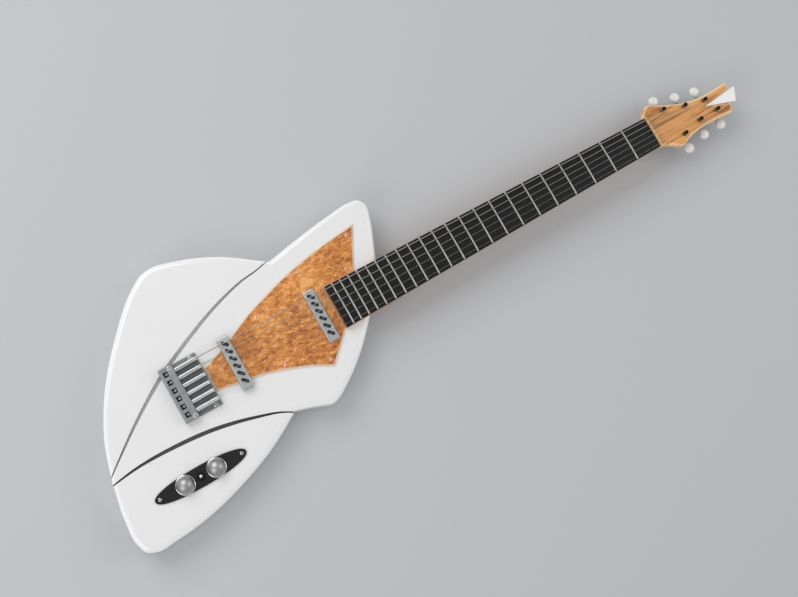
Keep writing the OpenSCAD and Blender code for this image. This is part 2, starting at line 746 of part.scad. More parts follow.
module bridge_base() {
    color("silver")
    difference() {
        union() {
            translate([block_x0, -bridge_w / 2, body_t]) cube([base_x1 - block_x0, bridge_w, base_t]);
            translate([block_x0, -bridge_w / 2, body_t]) cube([block_x1 - block_x0, bridge_w, block_h]);
        }
        for (i = [1 : 6]) translate([0, string_y(i, saddle_pitch), 0]) {
            translate([well_x0, -well_w / 2, well_floor_z]) cube([well_l, well_w, 30]);
            // Way for the string through the front wall
            bar([anchor_x, 0, anchor_z], [block_x1 + 2, 0, string_z(block_x1 + 2)], 0.9);
            // Seat of the intonation screw, and the way for its key through the rear wall
            translate([block_x0 - 1, 0, intonation_z]) rotate([0, 90, 0])
                cylinder(h = 30, r = intonation_r + fit, $fn = 24);
        }
        // Shallow trough that joins the wells
        translate([well_x0, -trough_w / 2, body_t + block_h - trough_depth]) cube([well_l, trough_w, 10]);
        for (b = BRIDGE_SCREWS) translate([b.x, b.y, screw_seat(b.x)])
            screw_hole(bridge_head_r, bridge_shank_r, 18);
    }
}

saddle_top_r = 1.6;
module saddles() {
    color("silver")
    for (i = [1 : 6]) translate([0, string_y(i, saddle_pitch), 0])
        let (crest = crest_z - STRING_R[i - 1] - 0.05, rear = string_z(saddle_x0) - STRING_R[i - 1] - 0.6)
        difference() {
            union() {
                translate([0, saddle_w / 2, 0]) rotate([90, 0, 0]) linear_extrude(saddle_w) polygon([
                    [saddle_x0, saddle_z0], [saddle_x1, saddle_z0], [saddle_x1, crest - saddle_top_r],
                    [crest_x, crest - saddle_top_r], [crest_x - 1, crest - saddle_top_r + 0.8],
                    [saddle_x0, rear]
                ]);
                translate([crest_x, saddle_w / 2, crest - saddle_top_r]) rotate([90, 0, 0])
                    cylinder(h = saddle_w, r = saddle_top_r);
            }
            translate([saddle_x0 - 1, 0, intonation_z]) rotate([0, 90, 0])
                cylinder(h = 12, r = intonation_r + 0.02, $fn = 24);
            translate([height_screw_x, 0, saddle_z0 - 1])
                cylinder(h = 30, r = height_screw_r + 0.02, $fn = 24);
        }
}

module intonation_screws() {
    color("dimgray")
    for (i = [1 : 6]) translate([well_x0 + 0.6, string_y(i, saddle_pitch), intonation_z]) rotate([0, 90, 0]) {
        cylinder(h = 6.5 - block_x0 + block_x1, r = intonation_r, $fn = 24);
        translate([0, 0, well_l - 2.9]) cylinder(h = 2.2, r = 2.2, $fn = 24);
    }
}

module height_screws() {
    color("dimgray")
    for (i = [1 : 6]) let (top = string_z(height_screw_x) - STRING_R[i - 1] - 0.9)
        translate([height_screw_x, string_y(i, saddle_pitch), body_t + base_t])
            cylinder(h = top - body_t - base_t, r = height_screw_r, $fn = 24);
}

module bridge_screws() {
    color("silver")
    for (b = BRIDGE_SCREWS) translate([b.x, b.y, screw_seat(b.x)])
        screw(bridge_head_r, bridge_shank_r, screw_seat(b.x) - body_t + 17);
}

// ---- Controls ----
// Oval a little fuller than an ellipse: each half axis times a power of the cosine or the sine
module oval(l, w, h) {
    linear_extrude(h) polygon([
        for (a = [0 : 5 : 355])
            [l / 2 * power(cos(a), 2 / plate_power), w / 2 * power(sin(a), 2 / plate_power)]
    ]);
}

module control_plate() {
    color([0.1, 0.1, 0.1])
    difference() {
        translate([control_x, control_y, body_t]) oval(plate_l, plate_w, plate_t);
        for (x = [volume_x, tone_x]) translate([x, control_y, 0]) cylinder(h = 100, r = bushing_r + fit / 2);
        translate([control_x, control_y, 0]) cylinder(h = 100, r = switch_bushing_r + fit / 2);
        for (q = PLATE_SCREWS) translate([q.x, q.y, plate_z])
            screw_hole(small_head_r, small_shank_r, small_l);
    }
}

module small_screws() {
    color("silver") {
        for (q = PLATE_SCREWS) translate([q.x, q.y, plate_z])
            screw(small_head_r, small_shank_r, small_l);
        for (y = [-1, 1]) translate([jack_floor_x - jack_plate_t, jack_y + y * jack_screw_y, edge_z])
            rotate([0, -90, 0]) screw(small_head_r, small_shank_r, small_l);
    }
}

// Domed knob, hollow below so that it clears the hex nut
module knob(x) {
    translate([x, control_y, knob_z]) {
        difference() {
            rotate_extrude($fn = 64) polygon(concat(
                [[0, 0], [knob_r, 0], [knob_r, skirt_h - 0.3], [knob_r - skirt_w, skirt_h]],
                [for (a = [0 : 15 : 75]) [(knob_r - skirt_w) * cos(a), dome_z + (knob_h - dome_z) * sin(a)]],
                [[0, knob_h]]
            ));
            translate([0, 0, -1]) cylinder(h = nut_h + 2.4, r = nut_flat_r + 1.6);
            translate([0, 0, -1]) cylinder(h = shaft_top_z - knob_z + 1.1, r = pot_shaft_r + 0.02);
        }
    }
}

module pot(x) {
    difference() {
        translate([x, control_y, 0]) {
            translate([0, 0, pot_z]) cylinder(h = pot_h, r = pot_r);
            translate([0, 0, pot_z + pot_h - 0.1])
                cylinder(h = plate_z + nut_h - pot_z - pot_h + 0.7, r = bushing_r);
        }
        translate([x, control_y, shaft_z - fit]) cylinder(h = 100, r = pot_shaft_r + run_fit);
    }
}

module pot_shaft(x) {
    translate([x, control_y, shaft_z]) cylinder(h = shaft_top_z - shaft_z, r = pot_shaft_r);
}

module volume_knob() { color("gainsboro") knob(volume_x); }
module volume_shaft() { color("dimgray") pot_shaft(volume_x); }
module volume_pot() { color("gray") pot(volume_x); }
module tone_knob() { color("gainsboro") knob(tone_x); }
module tone_shaft() { color("dimgray") pot_shaft(tone_x); }
module tone_pot() { color("gray") pot(tone_x); }

// Flat hex nuts on the two pots and the switch
module control_nuts() {
    color("silver")
    for (q = [[volume_x, bushing_r], [tone_x, bushing_r], [control_x, switch_bushing_r]])
        translate([q.x, control_y, plate_z]) difference() {
            cylinder(h = nut_h, r = nut_flat_r, $fn = 6);
            translate([0, 0, -1]) cylinder(h = nut_h + 2, r = q.y + 0.03);
        }
}

module selector_switch() {
    color("dimgray")
    difference() {
        union() {
            translate([control_x - 6, control_y - 5, body_t - 16]) cube([12, 10, 16 - fit]);
            translate([control_x, control_y, body_t - fit - 1])
                cylinder(h = plate_t + 3.4 + fit, r = switch_bushing_r);
        }
        translate([control_x, control_y, switch_pivot_z - 6]) cylinder(h = 30, r = switch_bore_r);
    }
}

module selector_lever() {
    color("silver")
    translate([control_x, control_y, switch_pivot_z]) {
        sphere(r = lever_ball_r);
        translate([0, 0, -4.5]) cylinder(h = 4.5, r = 1, $fn = 24);
        cylinder(h = 10, r1 = 1.2, r2 = 1.5, $fn = 24);
        translate([0, 0, 10]) sphere(r = 2.2);
    }
}

// ---- Jack and strap sockets ----
module output_jack() {
    color("silver")
    translate([jack_floor_x, jack_y, edge_z]) rotate([0, 90, 0]) difference() {
        union() {
            translate([0, 0, 0.1]) cylinder(h = jack_l - 0.1, r = jack_case_r);
            translate([0, 0, -jack_plate_t - 2]) cylinder(h = jack_plate_t + 4, r = jack_nose_r);
            translate([0, 0, -jack_plate_t - 1.8]) cylinder(h = 1.7, r = 7.2, $fn = 6);
        }
        translate([0, 0, -10]) cylinder(h = jack_l + 6, r = jack_bore_r);
    }
}

module jack_plate() {
    color("silver")
    translate([jack_floor_x, jack_y, edge_z]) rotate([0, -90, 0]) difference() {
        translate([-jack_plate_w / 2, -jack_plate_l / 2, 0])
            round_box([jack_plate_w, jack_plate_l, jack_plate_t], 4);
        translate([0, 0, -1]) cylinder(h = 10, r = jack_nose_r + fit / 2);
        for (y = [-1, 1]) translate([0, y * jack_screw_y, jack_plate_t])
            screw_hole(small_head_r, small_shank_r, small_l);
    }
}

module strap_sockets() {
    color("silver")
    for (s = [TAIL_SOCKET, HORN_SOCKET]) at_edge(s, edge_z) difference() {
        union() {
            translate([0, 0, -cup_depth]) cylinder(h = cup_depth - cup_flange_t, r = cup_r);
            translate([0, 0, -cup_flange_t - 0.3]) cylinder(h = cup_flange_t, r = cup_flange_r);
        }
        translate([0, 0, -cup_depth + 1.5]) cylinder(h = 40, r = cup_bore_r);
    }
}

// ---- Tuners ----
housing_z = head_back_z - housing_h;
module tuner_housings() {
    color("silver")
    for (i = [1 : 6]) let (p = POSTS[i - 1], s = side(i))
        translate([p.x, p.y, 0]) difference() {
            translate([-7, -7, housing_z]) round_box([worm_offset + 11, 14, housing_h - 0.05], 2);
            translate([0, 0, key_z - gear_t / 2 - 0.3]) cylinder(h = 40, r = gear_r + 0.4);
            translate([-0.01, -5, key_z - worm_r - 0.4]) cube([worm_offset + worm_r + 0.4, 10, 40]);
            translate([worm_offset, 0, key_z]) rotate([s * -90, 0, 0])
                cylinder(h = 30, r = key_shaft_r + run_fit);
            translate([0, 0, housing_z + 0.8]) cylinder(h = 10, r = post_foot_r + run_fit, $fn = 24);
        }
}

module tuner_bushings() {
    color("silver")
    for (p = POSTS) translate([p.x, p.y, 0]) difference() {
        translate([0, 0, head_back_z + 0.1])
            cylinder(h = bushing_top_z - head_back_z - 0.2, r = bushing_out_r);
        cylinder(h = 100, r = post_r + run_fit);
    }
}

// Post with its worm wheel below and a waist for the string above
module tuner_post(i) {
    p = POSTS[i - 1];
    translate([p.x, p.y, 0]) {
        translate([0, 0, housing_z + 1]) cylinder(h = key_z - housing_z, r = post_foot_r, $fn = 24);
        translate([0, 0, key_z - gear_t / 2]) difference() {
            cylinder(h = gear_t, r = gear_r);
            for (k = [0 : teeth - 1]) rotate([0, 0, k * 360 / teeth])
                translate([gear_r, 0, -1]) cylinder(h = gear_t + 4, r = 0.45, $fn = 6);
        }
        translate([0, 0, key_z]) cylinder(h = waist_z - key_z, r = post_r);
        translate([0, 0, waist_z - 1]) cylinder(h = waist_h + 2, r = waist_r);
        translate([0, 0, waist_z + waist_h]) cylinder(h = 2, r = post_r);
    }
}

// Button, shaft and worm, turned from one bar with a cast button
module tuner_key(i) {
    p = POSTS[i - 1];
    s = side(i);
    translate([p.x + worm_offset, p.y, key_z]) rotate([s * -90, 0, 0]) {
        translate([0, 0, -4.8]) cylinder(h = key_reach - 2, r = key_shaft_r);
        translate([0, 0, -4.8]) cylinder(h = 9.6, r = worm_r);
        translate([0, 0, key_reach - button_r - 1.5]) cylinder(h = 4, r = 2.4);
        translate([0, 0, key_reach]) rotate([90, 0, 0]) stack([
            for (a = [-75 : 25 : 75]) let (r = button_r * cos(a))
                [for (k = [0 : 23]) [r * cos(15 * k), -r * sin(15 * k), button_half_t * sin(a)]]
        ]);
    }
}

// ---- Strings ----
// Each runs from its ball in the base, over its saddle and the nut, and is wound down round its post
WIND = 20;
module string(i) {
    r = STRING_R[i - 1];
    p = POSTS[i - 1];
    ys = string_y(i, saddle_pitch);
    yn = string_y(i, nut_pitch);
    turn = waist_r + 0.08 + r;
    pitch = 2.4 * r;
    top = waist_z + 0.2 + r + wraps * pitch;
    translate([anchor_x, ys - 1.8, anchor_z]) rotate([-90, 0, 0]) cylinder(h = 3.6, r = 1.9, $fn = 24);
    wire(concat(
        [[anchor_x, ys, anchor_z], [crest_x, ys, crest_z], [nut_x, yn, nut_z], [nut_x + nut_t, yn, nut_z]],
        [for (k = [0 : wraps * WIND]) let (a = side(i) * (360 * k / WIND - 90))
            [p.x + turn * cos(a), p.y + turn * sin(a), top - pitch * k / WIND]]
    ), r, [0, 0, 1]);
}

module string_1() { color("gray") string(1); }
module string_2() { color("gray") string(2); }
module string_3() { color("gray") string(3); }
module string_4() { color("gray") string(4); }
module string_5() { color("gray") string(5); }
module string_6() { color("gray") string(6); }
module tuner_key_1() { color("white") tuner_key(1); }
module tuner_key_2() { color("white") tuner_key(2); }
module tuner_key_3() { color("white") tuner_key(3); }
module tuner_key_4() { color("white") tuner_key(4); }
module tuner_key_5() { color("white") tuner_key(5); }
module tuner_key_6() { color("white") tuner_key(6); }
module tuner_post_1() { color("silver") tuner_post(1); }
module tuner_post_2() { color("silver") tuner_post(2); }
module tuner_post_3() { color("silver") tuner_post(3); }
module tuner_post_4() { color("silver") tuner_post(4); }
module tuner_post_5() { color("silver") tuner_post(5); }
module tuner_post_6() { color("silver") tuner_post(6); }

body();
neck();
head_fin();
fingerboard();
frets();
nut();
truss_rod();
neck_plate();
neck_bolts();
pickguard();
pickguard_screws();
neck_pickup_cover();
neck_pickup_coil();
bridge_pickup_cover();
bridge_pickup_coil();
pickup_magnets();
pickup_leads();
jack_lead();
bridge_base();
saddles();
intonation_screws();
height_screws();
bridge_screws();
control_plate();
small_screws();
volume_knob();
volume_shaft();
volume_pot();
tone_knob();
tone_shaft();
tone_pot();
control_nuts();
selector_switch();
selector_lever();
output_jack();
jack_plate();
strap_sockets();
tuner_housings();
tuner_bushings();
string_1();
string_2();
string_3();
string_4();
string_5();
string_6();
tuner_key_1();
tuner_key_2();
tuner_key_3();
tuner_key_4();
tuner_key_5();
tuner_key_6();
tuner_post_1();
tuner_post_2();
tuner_post_3();
tuner_post_4();
tuner_post_5();
tuner_post_6();
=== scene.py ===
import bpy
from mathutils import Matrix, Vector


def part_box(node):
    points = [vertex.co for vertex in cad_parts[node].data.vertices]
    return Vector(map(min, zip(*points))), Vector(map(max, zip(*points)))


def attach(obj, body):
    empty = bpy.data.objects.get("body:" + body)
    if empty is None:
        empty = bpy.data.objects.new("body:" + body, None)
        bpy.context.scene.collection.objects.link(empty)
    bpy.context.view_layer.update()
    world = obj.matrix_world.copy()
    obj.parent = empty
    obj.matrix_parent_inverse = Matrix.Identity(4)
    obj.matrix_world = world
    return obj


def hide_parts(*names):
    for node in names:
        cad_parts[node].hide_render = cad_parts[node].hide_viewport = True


bl_info = {
    "name": "Electric guitar with a three-shard body",
    "version": (1, 0, 0),
    "blender": (4, 5, 0),
    "location": "3D View > Sidebar > Guitar",
    "description": "Builds the guitar's finished pieces round its packed frame, with its stage and camera",
    "category": "Object",
}

import bpy
import numpy as np
from bpy.props import FloatProperty, FloatVectorProperty, PointerProperty
from mathutils import Matrix

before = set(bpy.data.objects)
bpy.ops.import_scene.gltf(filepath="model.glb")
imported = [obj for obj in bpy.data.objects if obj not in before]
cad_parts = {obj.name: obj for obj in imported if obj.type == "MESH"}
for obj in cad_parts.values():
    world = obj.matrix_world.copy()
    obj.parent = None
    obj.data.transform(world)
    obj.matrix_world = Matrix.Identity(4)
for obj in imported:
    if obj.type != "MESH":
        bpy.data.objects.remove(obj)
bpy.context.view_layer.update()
MM = 0.001


# ---------------------------------------------------------------- places on the frame, in millimetres
def span(node):
    """Lowest and highest corner of a CAD node, in millimetres."""
    low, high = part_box(node)
    return np.array(low) / MM, np.array(high) / MM


def middle(node, axis):
    """Middle of a CAD node along an axis, in millimetres."""
    return float(np.mean([corner[axis] for corner in span(node)]))


FRONT_Z = span("body")[1][2]
NECK_END, NECK_Z = span("fingerboard")[0][0], span("fingerboard")[0][2]
BOARD_Z = span("fingerboard")[1][2]
NUT_X, NUT_END = span("nut")[0][0], span("nut")[1][0]
NUT_TOP = span("nut")[1][2]
GUARD_Z = span("pickguard")[1][2]
KEY_Z = float(np.mean([middle(f"tuner_key_{i}", 2) for i in range(1, 7)]))
HEAD_DROP, HEAD_T, HEEL_T, HEEL_L = 9.0, 14.0, 20.0, 66.0
HEAD_Z = BOARD_Z - HEAD_DROP
HEAD_BACK_Z = HEAD_Z - HEAD_T
POCKET_Z = NECK_Z - HEEL_T
HEEL_END = NECK_END + HEEL_L
EDGE_Z = FRONT_Z / 2
PLATE_X, PLATE_Y = middle("control_plate", 0), middle("control_plate", 1)
PLATE_Z = span("control_plate")[1][2]
KNOB_Z, KNOB_TOP = span("volume_knob")[0][2], span("volume_knob")[1][2]
JACK_X, JACK_Y = span("jack_plate")[1][0], middle("jack_plate", 1)
JACK_SEAT = ((JACK_X, JACK_Y, EDGE_Z), (0, 1, 0), (-1, 0, 0))
FRET_COUNT, STRING_COUNT = 22, 6
BOARD_R, NUT_HALF_W, TAPER = 305.0, 21.0, 7.5
HEEL_DEPTH, SHAFT_DEPTH = 20.0, 17.0
COVER_L, COVER_W = 15.0, 70.0
WELL_X, CHANNEL_X = -44.25, -17.9
STRING_R = np.array([0.13, 0.17, 0.22, 0.33, 0.46, 0.58])
SADDLE_PITCH, NUT_PITCH = 10.8, 7.1
POSTS = np.array([[690.5, -21.5], [719.5, -15], [748, -14], [739, 5], [710, 11], [680.5, 20]])
WORM_OFFSET, KEY_REACH, POST_R, WAIST_R, WAIST_H, WRAPS = 6.5, 18.0, 2.6, 1.9, 4.6, 2
WAIST_Z, BUSHING_TOP = HEAD_Z + 1.8, HEAD_Z - 2.4
ANCHOR = (-43.1, FRONT_Z + 8.3)
CREST = (-4.0, BOARD_Z + 3.6)
NUT_SLOT_Z = BOARD_Z + 1.5
BLOCK_X, BLOCK_TOP = (-51.0, -33.0), FRONT_Z + 11.0
BASE_END_X, BRIDGE_HALF_W = -2.2, 35.5
BRIDGE_SCREWS = [(x, y * 32.3, BLOCK_TOP if x < -33 else FRONT_Z + 2) for x in (-37, -10) for y in (-1, 1)]
GUARD_SCREWS = [(229, 73), (208.5, 36.5), (154.5, 61.5), (82.5, 37.5), (136, -52), (85, -31)]
# The head is drawn with its nut at this x; the fork is the corner between its two arms
DRAWN_NUT_X, FORK = 648, (734, -2.6)
NECK_PLATE_X = NECK_END + 3
STRAP_CUPS = [((-142.159, -2.0175), (-0.918208, 0.396098)), ((247.518, 109.309), (0.001849, 0.999998))]

TAIL, UPPER_TIP, LOWER_TIP = (-158, -52), (130, 91), (69, -85.5)
UPPER_WING = [TAIL, (-147, -14), (-120, 40), (-72, 101), (-32, 139), (-14, 150), (2, 152.5), (25, 147.5),
              (75, 128), UPPER_TIP]
BLADE_TOP = [UPPER_TIP, (175, 99.5), (225, 107), (252, 109.3), (266, 106.5), (272, 96), (269, 81), (256, 48),
             (247, 27)]
BLADE_BOTTOM = [(208, -27), (175, -61), (140, -88), (124, -97.5), (114, -100.5), (103, -97), (88, -91.5),
                LOWER_TIP]
LOWER_WING = [LOWER_TIP, (25, -110), (-25, -129.5), (-75, -143), (-125, -149), (-149, -149.5), (-161, -144),
              (-167, -130), (-166.5, -100), TAIL]
UPPER_GROOVE = [(-168, -57), (-138, -33), (-100, -4), (-52, 27.5), (0, 53.5), (50, 74), (87, 84.5),
                (118, 89.3), (132, 94), (140, 104)]
LOWER_GROOVE = [(-172, -58.5), (-125, -52), (-75, -52), (-25, -57), (25, -69), (58, -81), (70, -89),
                (76, -99)]
GUARD_TOP = [(22, 21.8), (50, 33.8), (75, 45), (100, 53.6), (137, 65), (175, 73), (215, 78.8), (243.8, 81.8)]
GUARD_BOTTOM = [(136, -61.3), (112.5, -48.8), (82.5, -37), (50, -27.5), (22, -22.5)]


# ---------------------------------------------------------------- sizes and colours a user would change
def linear(code):
    """Linear red, green and blue of an sRGB hex colour."""
    v = np.array([int(code[i:i + 2], 16) for i in (1, 3, 5)]) / 255
    return tuple(float(x) for x in np.where(v <= 0.04045, v / 12.92, ((v + 0.055) / 1.055) ** 2.4))


def length(name, description, mm):
    return FloatProperty(name=name, description=description, default=mm * MM, min=0, unit="LENGTH",
                         subtype="DISTANCE")


def colour(name, description, code):
    return FloatVectorProperty(name=name, description=description, default=linear(code), size=3, min=0, max=1,
                               subtype="COLOR")


class GuitarSizes(bpy.types.PropertyGroup):
    front_edge: length("Front edge", "Radius of the body's front edge", 7)
    back_edge: length("Back edge", "Radius of the body's back edge", 4)
    groove_w: length("Groove width", "Width of a groove at its widest", 5)
    groove_end_w: length("Groove end", "Width of a groove where it runs out at the edge", 1)
    groove_depth: length("Groove depth", "Depth of the two grooves", 10)
    guard_bevel: length("Guard bevel", "Width of the pickguard's slanted edge", 1.9)
    head_bevel: length("Head bevel", "Width of the slanted edge round the head's face", 2.6)
    fret_w: length("Fret width", "Width of a fret's crown", 2.4)
    fret_h: length("Fret height", "Height of a fret's crown", 1.1)
    saddle_w: length("Saddle width", "Width of one saddle", 5.8)
    knob_r: length("Knob radius", "Radius of a knob at its rim", 12)
    button_r: length("Button radius", "Radius of a tuner's button", 7)
    slot_l: length("Slot length", "Length of a slot in a pickup cover", 8.6)
    slot_w: length("Slot width", "Width of a slot in a pickup cover", 3)


class GuitarColours(bpy.types.PropertyGroup):
    body: colour("Body", "Lacquer on the flat of the body", "#E9E9E9")
    # The rim colour is a painted highlight: the rounded edges are the same lacquer as the flat, drawn whiter
    rim: colour("Rim", "Painted highlight on the body's rounded edge", "#FDFDFD")
    # The groove colours are painted light and shade: both grooves are the body's own white lacquer, the upper
    # painted paler against its shadow, the lower painted darker
    groove_high: colour("Upper groove", "Painted light inside the upper groove", "#F0F0F0")
    groove_low: colour("Lower groove", "Painted shade inside the lower groove", "#8C8C8C")
    guard_light: colour("Guard, light figure", "Palest figure of the pickguard's wood", "#F0AC60")
    guard_mid: colour("Guard", "Main colour of the pickguard's wood", "#CA7B2C")
    guard_dark: colour("Guard, dark figure", "Darkest figure of the pickguard's wood", "#8E4E16")
    guard_edge: colour("Guard edge", "Pale core on the pickguard's slanted edge", "#F2DEC6")
    head: colour("Head", "Wood of the neck and head", "#D4954F")
    head_dark: colour("Head grain", "Darker grain of the neck and head", "#965722")
    head_edge: colour("Head edge", "Cut edge round the head's face", "#EBC898")
    board: colour("Fingerboard", "Near-black fingerboard", "#0C0C0E")
    plate: colour("Control plate", "Polished black control plate", "#161616")
    rose: colour("Guard screws", "Rose-tinted plating of the screws", "#E8B8A8")
    satin: colour("Satin metal", "Pickup covers and bridge", "#C4C7C8")
    pearl: colour("Buttons", "Tuner buttons", "#EDEDEA")
    floor: colour("Floor", "Paper that the guitar lies on", "#BFC1C4")


def size(key):
    """A size from the panel, in millimetres."""
    return getattr(bpy.context.scene.guitar_sizes, key) / MM


def tint(key):
    """A colour from the panel, with its alpha."""
    return (*getattr(bpy.context.scene.guitar_colours, key), 1.0)


# ---------------------------------------------------------------- shapes: (vertices in mm, faces, materials)
def smooth_run(points, step):
    """Cubic through the points, without the last: at each point the tangent is the mean of the unit chords
    on both sides, each weighted by the other's length, and each span is a Hermite cubic over its chord."""
    p = np.asarray(points, float)
    d = np.diff(p, axis=0)
    c = np.linalg.norm(d, axis=1)
    u = d / c[:, None]
    t = (c[1:, None] * u[:-1] + c[:-1, None] * u[1:]) / (c[:-1] + c[1:])[:, None]
    t = np.vstack([u[:1], t, u[-1:]])
    n = np.maximum(1, np.round(c / step).astype(int))
    i = np.repeat(np.arange(len(c)), n)
    s = ((np.arange(n.sum()) - np.repeat(np.cumsum(n) - n, n)) / n[i])[:, None]
    h = c[i][:, None]
    return ((2 * s ** 3 - 3 * s ** 2 + 1) * p[i] + (s ** 3 - 2 * s ** 2 + s) * h * t[i]
            + (3 * s ** 2 - 2 * s ** 3) * p[i + 1] + (s ** 3 - s ** 2) * h * t[i + 1])


def inset(outline, d):
    """Counter-clockwise outline moved inwards by d: each point goes along the sum of its two edges' inward
    normals, divided by one plus their dot product, so that both edges move by d."""
    e = np.roll(outline, -1, 0) - outline
    n = np.stack([-e[:, 1], e[:, 0]], 1) / np.linalg.norm(e, axis=1)[:, None]
    m = np.roll(n, 1, 0)
    return outline + d * (m + n) / np.maximum(1 + (m * n).sum(1, keepdims=True), 0.25)


def filleted(points, r, steps=5):
    """Corners rounded: each is a quadratic curve from r before it to r after it, pulled to the corner."""
    p = np.asarray(points, float)
    a, b = np.roll(p, 1, 0) - p, np.roll(p, -1, 0) - p
    a, b = (v / np.linalg.norm(v, axis=1)[:, None] * r for v in (a, b))
    t = np.linspace(0, 1, steps)[None, :, None]
    curve = (1 - t) ** 2 * (p + a)[:, None] + 2 * t * (1 - t) * p[:, None] + t ** 2 * (p + b)[:, None]
    return curve.reshape(-1, 2)


def box_outline(l, w, r, centre=(0, 0), steps=6):
    x, y = l / 2, w / 2
    return filleted([(-x, -y), (x, -y), (x, y), (-x, y)], r, steps) + np.array(centre)


def skin(P, wrap=True, caps=True, mat=0, row_mats=None):
    """Faces between neighbouring rows and columns of a grid of points. Rings run counter-clockwise about the
    way they are stacked, so faces look outwards; caps close the first and last ring."""
    n, k = P.shape[:2]
    i, j = np.arange(n - 1)[:, None], np.arange(k if wrap else k - 1)[None, :]
    a, b = i * k + j, i * k + (j + 1) % k
    F = np.stack([a, b, b + k, a + k], -1)
    rows = np.full(n - 1, mat) if row_mats is None else np.asarray(row_mats)
    M = np.repeat(rows, F.shape[1]).tolist()
    F = F.reshape(-1, 4).tolist()
    if caps:
        F += [list(range(k))[::-1], list(range((n - 1) * k, n * k))]
        M += [int(rows[0]), mat]
    return P.reshape(-1, 3), F, M


def join(shapes):
    """Several shapes as one."""
    V, F, M, start = [], [], [], 0
    for v, f, m in shapes:
        V.append(v)
        F += [[i + start for i in face] for face in f]
        M += m
        start += len(v)
    return np.concatenate(V), F, M


def placed(shape, at=(0, 0, 0), x=(1, 0, 0), z=(0, 0, 1)):
    """The shape with its own X and Z along the given directions, its origin at a point."""
    x, z = (np.asarray(v, float) / np.linalg.norm(v) for v in (x, z))
    R = np.stack([x, np.cross(z, x), z])
    return shape[0] @ R + np.asarray(at, float), shape[1], shape[2]


def stacked(rings):
    """Rows of points from (outline, height) pairs."""
    return np.stack([np.column_stack([line, np.full(len(line), z)]) for line, z in rings])


def plate(outline, profile, mat=0, row_mats=None):
    """Counter-clockwise outline carried up through (inset, height) pairs, closed at both ends."""
    return skin(stacked([(inset(outline, d), z) for d, z in profile]), mat=mat, row_mats=row_mats)


def edges(z0, z1, r0, r1, steps=5, flat=0.8):
    """(inset, height) pairs with a quarter circle of radius r0 at the bottom and r1 at the top, and a narrow
    flat ring inside each, which keeps the large faces flat where they are smoothed."""
    a = np.linspace(0, np.pi / 2, steps)
    low = np.column_stack([r0 * (1 - np.sin(a)), z0 + r0 * (1 - np.cos(a))])
    high = np.column_stack([r1 * (1 - np.cos(a)), z1 - r1 * (1 - np.sin(a))])
    return np.vstack([[r0 + flat, z0], low, high, [r1 + flat, z1]])


def lathe(profile, sides=48, mat=0, row_mats=None):
    """(radius, height) pairs turned round Z: x = r cos a, y = r sin a."""
    r, z = np.asarray(profile, float).T
    a = np.arange(sides) * 2 * np.pi / sides
    P = np.stack(np.broadcast_arrays(r[:, None] * np.cos(a), r[:, None] * np.sin(a), z[:, None]), -1)
    return skin(P, mat=mat, row_mats=row_mats)


def tube(path, r, sides=12):
    """Circle of radius r carried along a path, square to its tangent at each point."""
    p = np.asarray(path, float)
    d = np.diff(p, axis=0)
    d /= np.linalg.norm(d, axis=1)[:, None]
    t = np.vstack([d[:1], d[:-1] + d[1:], d[-1:]])
    t /= np.linalg.norm(t, axis=1)[:, None]
    s = np.cross(t, (0, 0, 1))
    s /= np.linalg.norm(s, axis=1)[:, None]
    u = np.cross(s, t)
    a = -np.arange(sides) * 2 * np.pi / sides
    return skin(p[:, None] + r * (s[:, None] * np.cos(a)[:, None] + u[:, None] * np.sin(a)[:, None]))


def screw_head(r, dome, skirt=1.0, cross=0.55):
    """Domed head with a cross recess on a polar grid: height = dome (1 - (q/r)^2) less a flat-bottomed cross
    whose arms are cross wide and reach 0.6 r; the rim goes straight down by skirt."""
    q = np.concatenate([[r, r], np.linspace(r, 0.04 * r, 15)[1:]])
    a = np.arange(40) * 2 * np.pi / 40
    x, y = q[:, None] * np.cos(a), q[:, None] * np.sin(a)
    arm = np.minimum(np.maximum(np.abs(x) / cross, np.abs(y) / (0.6 * r)),
                     np.maximum(np.abs(y) / cross, np.abs(x) / (0.6 * r)))
    z = dome * (1 - (q[:, None] / r) ** 2) - 0.45 * r * 0.6 * np.clip((1.25 - arm) / 0.3, 0, 1)
    z[0] = -skirt
    return skin(np.stack([x, y, z], -1))


def build(name, shape, finish_keys, slot=None, replaces=(), smooth=35, body="guitar"):
    """Puts a shape with its finishes into the scene and, when it has a slot, smooths it but for edges sharper
    than an angle, hangs it on its body and hides the CAD nodes it replaces. The slot's name is not kept. A
    piece without a slot is a cutter or the floor."""
    mesh = bpy.data.meshes.new(name)
    mesh.from_pydata((shape[0] * MM).tolist(), [], shape[1])
    for key in finish_keys.split():
        mesh.materials.append(finishes()[key])
    mesh.polygons.foreach_set("material_index", np.array(shape[2], np.int32))
    mesh.update()
    piece = bpy.data.objects.new(name, mesh)
    bpy.context.scene.collection.objects.link(piece)
    if slot:
        soften(piece, smooth)
        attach(piece, body)
        if replaces:
            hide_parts(*replaces)
    return piece


def soften(piece, angle):
    piece.data.shade_smooth()
    piece.data.set_sharp_from_angle(angle=np.radians(angle))


def carve(piece, cutters, smooth=35, weighted=True):
    """Cuts closed shapes out of a piece, keeps the result as its mesh, and lets large faces rule its shading
    where weighted."""
    for k, cutter in enumerate(cutters):
        tool = build(f"cutter_{k}", cutter, "")
        for material in piece.data.materials:
            tool.data.materials.append(material)
        cut = piece.modifiers.new("cut", "BOOLEAN")
        cut.operation, cut.solver, cut.object = "DIFFERENCE", "MANIFOLD", tool
    piece.data.shade_flat()
    graph = bpy.context.evaluated_depsgraph_get()
    mesh = bpy.data.meshes.new_from_object(piece.evaluated_get(graph))
    for cut in list(piece.modifiers):
        tool = cut.object
        piece.modifiers.remove(cut)
        bpy.data.objects.remove(tool)
    if len(mesh.polygons) < 10:
        raise RuntimeError(f"{piece.name}: the cuts left nothing")
    piece.data = mesh
    soften(piece, smooth)
    if weighted:
        even = piece.modifiers.new("even", "WEIGHTED_NORMAL")
        even.keep_sharp = True
    return piece


